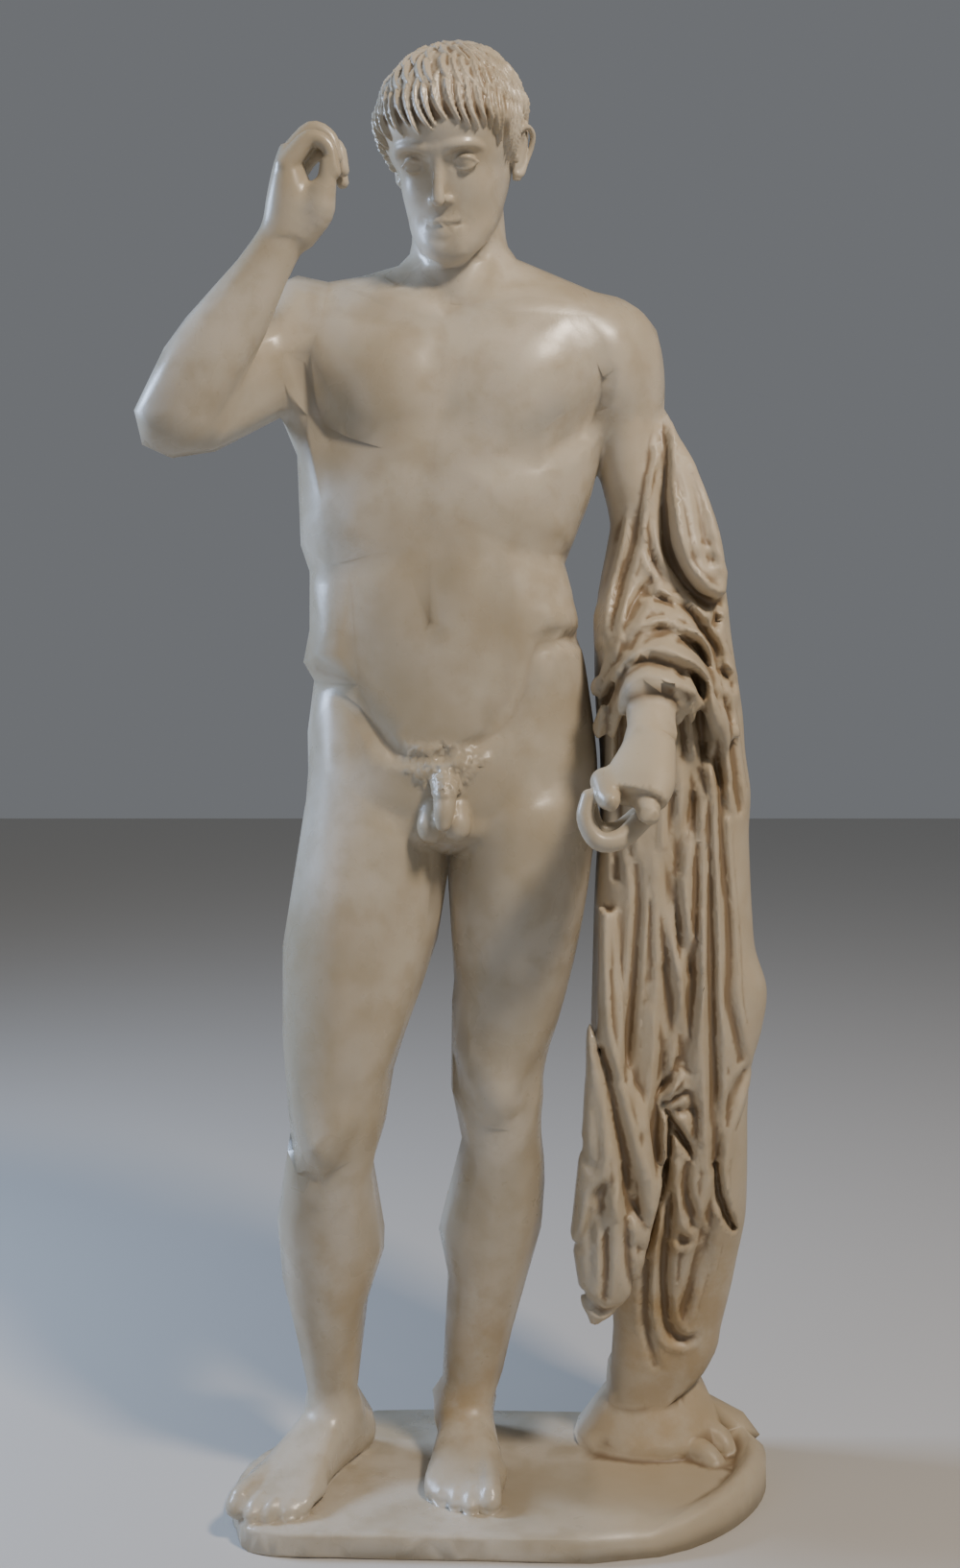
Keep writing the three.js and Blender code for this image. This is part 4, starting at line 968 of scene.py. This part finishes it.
LEFT_ELBOW, LEFT_WRIST, LEFT_KNUCKLES = (182, 18, 1160), (170, -190, 972), (142, -246, 912)
LEFT_FOREARM = [
    (0, -36, 36, -40, 40),
    (60, -42, 42, -42, 40),
    (130, -38, 38, -36, 34),
    (200, -31, 31, -27, 25),
    (250, -28, 28, -22, 21),
    (280, -30, 30, -21, 20),
]
leaning(LEFT_ELBOW, LEFT_WRIST, (0, 0, -1), LEFT_FOREARM, crease=10)
leaning(
    LEFT_WRIST,
    LEFT_KNUCKLES,
    (0, 0.4, -1),
    [(0, -28, 28, -21, 20), (30, -36, 33, -22, 24), (62, -42, 38, -21, 24), (84, -40, 38, -16, 20)],
    crease=8,
)
tapering([(156, -232, 916, 15), (160, -248, 902, 14), (161, -260, 893, 13)], crease=6)
tapering([(114, -222, 928, 16), (116, -242, 914, 14), (118, -254, 908, 12)], crease=8)
tapering([(158, -226, 888, 12), (132, -240, 866, 11.5), (106, -244, 864, 11), (92, -240, 888, 10), (96, -234, 912, 9)], crease=5)
tapering([(160, -200, 892, 12), (130, -212, 872, 11), (106, -216, 876, 10), (98, -214, 900, 9)], crease=5)

broken((163, -266, 889), (20, 18, 20), 8, 6)
broken((119, -258, 905), (18, 14, 16), 5, 5)

# ------------------------------------------------------------------------------------------------
# Tortoise under the cloak's end. It walks towards +X; only its shell, two feet and its head show.
# ------------------------------------------------------------------------------------------------

SHELL = [
    (36, 106, 286, -16, 126),
    (48, 100, 290, -20, 130),
    (58, 102, 292, -20, 130),
    (72, 112, 290, -12, 124),
    (100, 132, 276, 4, 112),
    (128, 158, 262, 22, 96),
    (146, 190, 250, 44, 78),
    (154, 208, 236, 54, 70),
]
upright(SHELL, square=2.15, crease=4)
chisel([(104, 34, 62, 6, -2), (150, -14, 60, 6, -4), (200, -24, 56, 6, -4), (250, -20, 54, 6, -4), (286, 10, 56, 6, -3)])
tapering([(244, 6, 52, 18), (262, -12, 50, 17), (272, -24, 47, 13)], crease=5)
tapering([(270, 30, 66, 18), (286, 14, 58, 16), (292, 4, 50, 13)], crease=5)
tapering([(284, 60, 74, 20), (304, 54, 66, 18), (320, 48, 58, 13), (330, 44, 52, 8)], crease=6)
for x, y, z in ((266, -30, 50), (275, -29, 50), (283, -24, 50), (290, -4, 50), (297, 0, 50), (302, 7, 50)):
    tapering([(x - 5, y + 8, z + 2, 5), (x, y, z - 4, 4)], crease=2)

# ------------------------------------------------------------------------------------------------
# Plinth: a thin oval slab left under the figure, with a raised lip round the tortoise's end.
# ------------------------------------------------------------------------------------------------

EDGE = [
    (-308, -176),
    (-262, -198),
    (-176, -202),
    (-62, -206),
    (51, -212),
    (126, -209),
    (216, -184),
    (290, -122),
    (334, -44),
    (336, 28),
    (292, 96),
    (210, 126),
    (120, 130),
    (-113, 136),
    (-196, 118),
    (-266, 62),
    (-318, -20),
    (-328, -112),
]
ring = smooth_path(EDGE[-2:] + EDGE + EDGE[:2], 5)[10:-10]
cut, x, y, z = part_of_block((-400, -290, 9), (362, 166, 90))
flat_x, flat_y = x[:, :, 0], y[:, :, 0]
edge = np.full((flat_x.shape[0], flat_y.shape[1]), 1e3, np.float32)
inside = np.zeros(edge.shape, bool)
for a, b in zip(ring, np.roll(ring, -1, axis=0)):
    run = b - a
    t = np.clip(((flat_x - a[0]) * run[0] + (flat_y - a[1]) * run[1]) / (run @ run + 1e-6), 0, 1)
    edge = np.minimum(edge, np.hypot(flat_x - a[0] - t * run[0], flat_y - a[1] - t * run[1]))
    crosses = (flat_y > min(a[1], b[1])) & (flat_y <= max(a[1], b[1]))
    inside ^= crosses & (flat_x < a[0] + (flat_y - a[1]) / (run[1] if abs(run[1]) > 1e-6 else 1e-6) * run[0])
edge = np.where(inside, -edge, edge)
lip = 20 * np.clip((flat_x - 180) / 120, 0, 1) * bell(np.abs(edge + 16) / 26)
top = 45 + lip - 1.5 * bell(np.hypot((flat_x + 20) / 300, (flat_y + 30) / 150))
wall = np.maximum(edge[:, :, None] + 5, 0)
slab = np.maximum(z - top[:, :, None] + 5, 20 - z)
join(cut, (np.hypot(wall, np.maximum(slab, 0)) + np.minimum(np.maximum(edge[:, :, None] + 5, slab), 0) - 5).astype(np.float32), 5)

# ------------------------------------------------------------------------------------------------
# The finished surface: the grid's zero level as one closed mesh, thinned where the marble is plain,
# and shaded by the grid's own slope.
# ------------------------------------------------------------------------------------------------


def sampled(field, places):
    """The field at places in millimetres, read between the grains."""
    value = np.zeros(len(places), np.float32)
    spots = [np.interp(places[:, k], axes[k], np.arange(len(axes[k]))) for k in range(3)]
    base = [np.minimum(v.astype(int), field.shape[k] - 2) for k, v in enumerate(spots)]
    part = [v - b for v, b in zip(spots, base)]
    for corner in range(8):
        step = [(corner >> k) & 1 for k in range(3)]
        weight = np.prod([part[k] if step[k] else 1 - part[k] for k in range(3)], axis=0)
        value += weight * field[base[0] + step[0], base[1] + step[1], base[2] + step[2]]
    return value


np.clip(marble, -12, 12, out=marble)
shell = openvdb.FloatGrid(4.0)
shell.copyFromArray(np.clip(marble, -4, 4), tolerance=0.0)
points, quads = shell.convertToQuads(0.0)
points = np.column_stack([np.interp(points[:, k], np.arange(len(axes[k])), axes[k]) for k in range(3)])


def set_in_frame(drawn):
    """Drawn millimetres as metres in the frame."""
    placed = (drawn - (0, 0, DRAWN_UNDERSIDE)) * FRAME_SCALE
    return placed + (0, 0, low_corner[2])


mesh = bpy.data.meshes.new("statue_marble")
mesh.vertices.add(len(points))
mesh.vertices.foreach_set("co", set_in_frame(points).astype(np.float32).ravel())
mesh.loops.add(quads.size)
mesh.loops.foreach_set("vertex_index", quads.astype(np.int32).ravel())
mesh.polygons.add(len(quads))
mesh.polygons.foreach_set("loop_start", np.arange(0, quads.size, 4, dtype=np.int32))
mesh.update(calc_edges=True)
statue = bpy.data.objects.new("statue_marble", mesh)
bpy.context.scene.collection.objects.link(statue)

# The head, hands, feet and cloak keep more of their faces than the plain skin does.
fine = np.zeros(len(points))
for place, size, weight in (
    ((-54, -66, 1690), (130, 150, 130), 1.0),
    ((-215, -150, 1600), (70, 70, 100), 0.9),
    ((135, -235, 900), (70, 60, 90), 0.8),
    ((-240, -90, 60), (120, 170, 60), 0.5),
    ((-45, -60, 60), (70, 170, 60), 0.5),
    ((-67, -110, 910), (80, 60, 80), 0.7),
    ((215, -60, 700), (160, 110, 760), 0.62),
):
    away = np.sqrt((((points - place) / size) ** 2).sum(1))
    fine = np.maximum(fine, weight * np.clip(2 * (1 - away) + 0.6, 0, 1))
KEPT_FACES = 196000
group = statue.vertex_groups.new(name="fine")
for level in range(1, 11):
    members = np.nonzero(np.round(fine * 10) == level)[0]
    group.add(members.tolist(), level / 10, "REPLACE")
thin = statue.modifiers.new("thin", "DECIMATE")
thin.ratio = min(1, KEPT_FACES / (2 * len(quads)))
thin.vertex_group = "fine"
thin.invert_vertex_group = True
thin.vertex_group_factor = 3.0
bpy.context.view_layer.objects.active = statue
for other in bpy.context.selected_objects:
    other.select_set(False)
statue.select_set(True)
bpy.ops.object.modifier_apply(modifier="thin")
statue.vertex_groups.clear()
mesh = statue.data
mesh.shade_smooth()

places = np.empty(len(mesh.vertices) * 3, np.float32)
mesh.vertices.foreach_get("co", places)
places = (places.reshape(-1, 3) - (0, 0, low_corner[2])) / FRAME_SCALE + (0, 0, DRAWN_UNDERSIDE)
slope = np.column_stack([sampled(marble, places + d) - sampled(marble, places - d) for d in np.eye(3) * 1.2])
slope /= np.linalg.norm(slope, axis=1, keepdims=True) + 1e-9
mesh.normals_split_custom_set_from_vertices(slope.tolist())

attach(statue, "root")
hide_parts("statue")

# ------------------------------------------------------------------------------------------------
# The marble: a fine white stone gone ivory with age, its skin polished and its cloth left matt. Brown
# stain sits on the shins, the elbow and the cloth; its hollows are darkened with dust and painted shade.
# ------------------------------------------------------------------------------------------------

head_place, head_turn, head_size = HEAD_POSE
in_head = (places - head_place) @ head_turn / head_size
in_hair = np.clip((in_head[:, 2] - 40 + 1.6 * np.clip(in_head[:, 1] + 30, 0, 90)) / 8, 0, 1) * (in_head[:, 2] > -60)
STAINS = [
    ((-210, -50, 300), (60, 90, 170), 0.5),
    ((-30, -50, 200), (50, 80, 150), 0.7),
    ((-50, 0, 110), (50, 90, 60), 0.8),
    ((180, 10, 1150), (60, 90, 90), 0.5),
    ((-40, -10, 780), (60, 120, 120), 0.3),
    ((-200, -100, 700), (60, 60, 160), 0.25),
    ((215, -20, 250), (110, 120, 220), 0.85),
    ((310, 40, 700), (40, 80, 200), 1.0),
    ((215, -20, 700), (140, 120, 760), 0.35),
    ((-50, -120, 1700), (80, 60, 50), 0.35),
    ((200, 20, 80), (120, 120, 60), 0.6),
    ((-390, -120, 1330), (50, 50, 60), 0.5),
]
stain = np.zeros(len(places))
for place, size, weight in STAINS:
    stain = np.maximum(stain, weight * bell(np.sqrt((((places - place) / size) ** 2).sum(1)) * 0.8))
cloth_share = np.clip((places[:, 0] - 112 - np.clip((places[:, 2] - 1000) / 12, 0, 60)) / 14, 0, 1) * (places[:, 2] < 1350)
# Painted shade, partly dust: where the blurred marble lies below the surface, in hollows and creases, the colour is
# darkened, most in the cloth and hair.
hollow = np.clip(-sampled(blurred(marble, int(6 / GRAIN)), places) / 1.6, 0, 1)
hollow *= 0.3 + 0.6 * np.maximum(cloth_share, in_hair)
for name, values in (("hollow", hollow), ("stain", stain), ("matt", cloth_share)):
    layer = mesh.attributes.new(name, "FLOAT", "POINT")
    layer.data.foreach_set("value", values.astype(np.float32))


def colour(code):
    """An sRGB hex colour as the linear values that the shader takes."""
    parts = [int(code[i : i + 2], 16) / 255 for i in (1, 3, 5)]
    return (*(c / 12.92 if c <= 0.04045 else ((c + 0.055) / 1.055) ** 2.4 for c in parts), 1)


marble_finish = bpy.data.materials.new("aged_marble")
marble_finish.use_nodes = True
tree = marble_finish.node_tree
shader = tree.nodes["Principled BSDF"]


def add(kind, settings=(), **inputs):
    """Adds a node with its settings, and its inputs as values or as links from other nodes."""
    made = tree.nodes.new(kind)
    for name, value in dict(settings).items():
        setattr(made, name, value)
    for name, value in inputs.items():
        socket = made.inputs[int(name[1:]) if name[0] == "i" and name[1:].isdigit() else name]
        if isinstance(value, bpy.types.NodeSocket):
            tree.links.new(value, socket)
        else:
            socket.default_value = value
    return made


where = add("ShaderNodeTexCoord").outputs["Object"]


def noise(size_mm, detail=3.0, rough=0.5):
    """Noise whose lumps are about this many millimetres across."""
    return add("ShaderNodeTexNoise", Vector=where, Scale=1000 / size_mm, Detail=detail, Roughness=rough).outputs["Fac"]


def spread(value, low, high, to_low=0.0, to_high=1.0):
    made = add("ShaderNodeMapRange", {"interpolation_type": "SMOOTHSTEP"}, Value=value)
    for k, v in enumerate((low, high, to_low, to_high)):
        made.inputs[k + 1].default_value = v
    return made.outputs["Result"]


def combine(operation, a, b):
    return add("ShaderNodeMath", {"operation": operation, "use_clamp": True}, i0=a, i1=b).outputs[0]


def blend(share, under, over):
    made = add("ShaderNodeMix", {"data_type": "RGBA"})
    for k, v in ((0, share), (6, under), (7, over)):
        if isinstance(v, bpy.types.NodeSocket):
            tree.links.new(v, made.inputs[k])
        else:
            made.inputs[k].default_value = v
    return made.outputs[2]


def attribute(name):
    return add("ShaderNodeAttribute", {"attribute_name": name}).outputs["Fac"]


matt = attribute("matt")
tint = blend(spread(noise(170), 0.35, 0.7), colour("#C8BFAE"), colour("#B0A48D"))
tint = blend(spread(noise(38, 4), 0.42, 0.72, 0, 0.5), tint, colour("#A99B80"))
tint = blend(combine("MULTIPLY", matt, 0.55), tint, colour("#C6B79C"))
brown = combine("MULTIPLY", attribute("stain"), spread(noise(60, 5, 0.6), 0.38, 0.62, 0.15, 1))
tint = blend(combine("MULTIPLY", brown, 0.75), tint, colour("#A5854F"))
# Painted shade and dust: the hollows darken towards a deep brown.
tint = blend(combine("MULTIPLY", spread(attribute("hollow"), 0.12, 0.9), 0.75), tint, colour("#6E5536"))
tint = blend(spread(noise(6, 3, 0.7), 0.62, 0.74, 0, 0.25), tint, colour("#9E8C6B"))
tree.links.new(tint, shader.inputs["Base Color"])
gloss = spread(noise(55, 3), 0.3, 0.7, 0.24, 0.4)
tree.links.new(combine("ADD", gloss, combine("MULTIPLY", matt, 0.16)), shader.inputs["Roughness"])
skin = add("ShaderNodeBump", Height=noise(14, 4, 0.6), Strength=0.10, Distance=0.0015).outputs["Normal"]
skin = add("ShaderNodeBump", Height=noise(2.2, 2, 0.6), Strength=0.16, Distance=0.0004, Normal=skin).outputs["Normal"]
tree.links.new(skin, shader.inputs["Normal"])
shader.inputs["IOR"].default_value = 1.5
shader.inputs["Subsurface Weight"].default_value = 0.12
shader.inputs["Subsurface Radius"].default_value = (1.0, 0.75, 0.5)
shader.inputs["Subsurface Scale"].default_value = 0.006
mesh.materials.clear()
mesh.materials.append(marble_finish)

# ------------------------------------------------------------------------------------------------
# Camera, floor and soft studio light.
# ------------------------------------------------------------------------------------------------

camera = bpy.data.objects.new("camera", bpy.data.cameras.new("camera"))
camera.data.sensor_width = 36
camera.data.lens = 1800 / 1634 * 36
camera.location = (-0.025, -2.148, 1.054)
camera.rotation_euler = (math.radians(90 - 4.257), 0, 0)
bpy.context.scene.collection.objects.link(camera)
bpy.context.scene.camera = camera

for other in bpy.context.selected_objects:
    other.select_set(False)
bpy.ops.mesh.primitive_plane_add(size=14, location=(0, 2, 0))
floor = bpy.context.object
floor.name = "floor"
bpy.ops.object.transform_apply(location=True)
floor_finish = bpy.data.materials.new("pale_floor")
floor_finish.use_nodes = True
floor_finish.node_tree.nodes["Principled BSDF"].inputs["Base Color"].default_value = colour("#C9C6C0")
floor_finish.node_tree.nodes["Principled BSDF"].inputs["Roughness"].default_value = 0.7
floor.data.materials.append(floor_finish)

studio = bpy.data.worlds.new("studio")
bpy.context.scene.world = studio
studio.use_nodes = True
studio.node_tree.nodes["Background"].inputs["Color"].default_value = colour("#C9CDD3")
studio.node_tree.nodes["Background"].inputs["Strength"].default_value = 0.27
for name, place, size, power, tone in (
    ("key", (1.5, -1.8, 3.4), 0.5, 92, "#FFEEDA"),
    ("fill", (-2.4, -2.2, 1.6), 1.6, 8, "#DDE8FF"),
    ("edge", (-2.5, 0.4, 2.0), 0.8, 85, "#BFD8FF"),
):
    lamp = bpy.data.objects.new(name, bpy.data.lights.new(name, "AREA"))
    lamp.data.size = size
    lamp.data.energy = power
    lamp.data.color = colour(tone)[:3]
    lamp.location = place
    aim = mathutils.Vector((0, 0, 0.95)) - mathutils.Vector(place)
    lamp.rotation_euler = aim.to_track_quat("-Z", "Y").to_euler()
    bpy.context.scene.collection.objects.link(lamp)
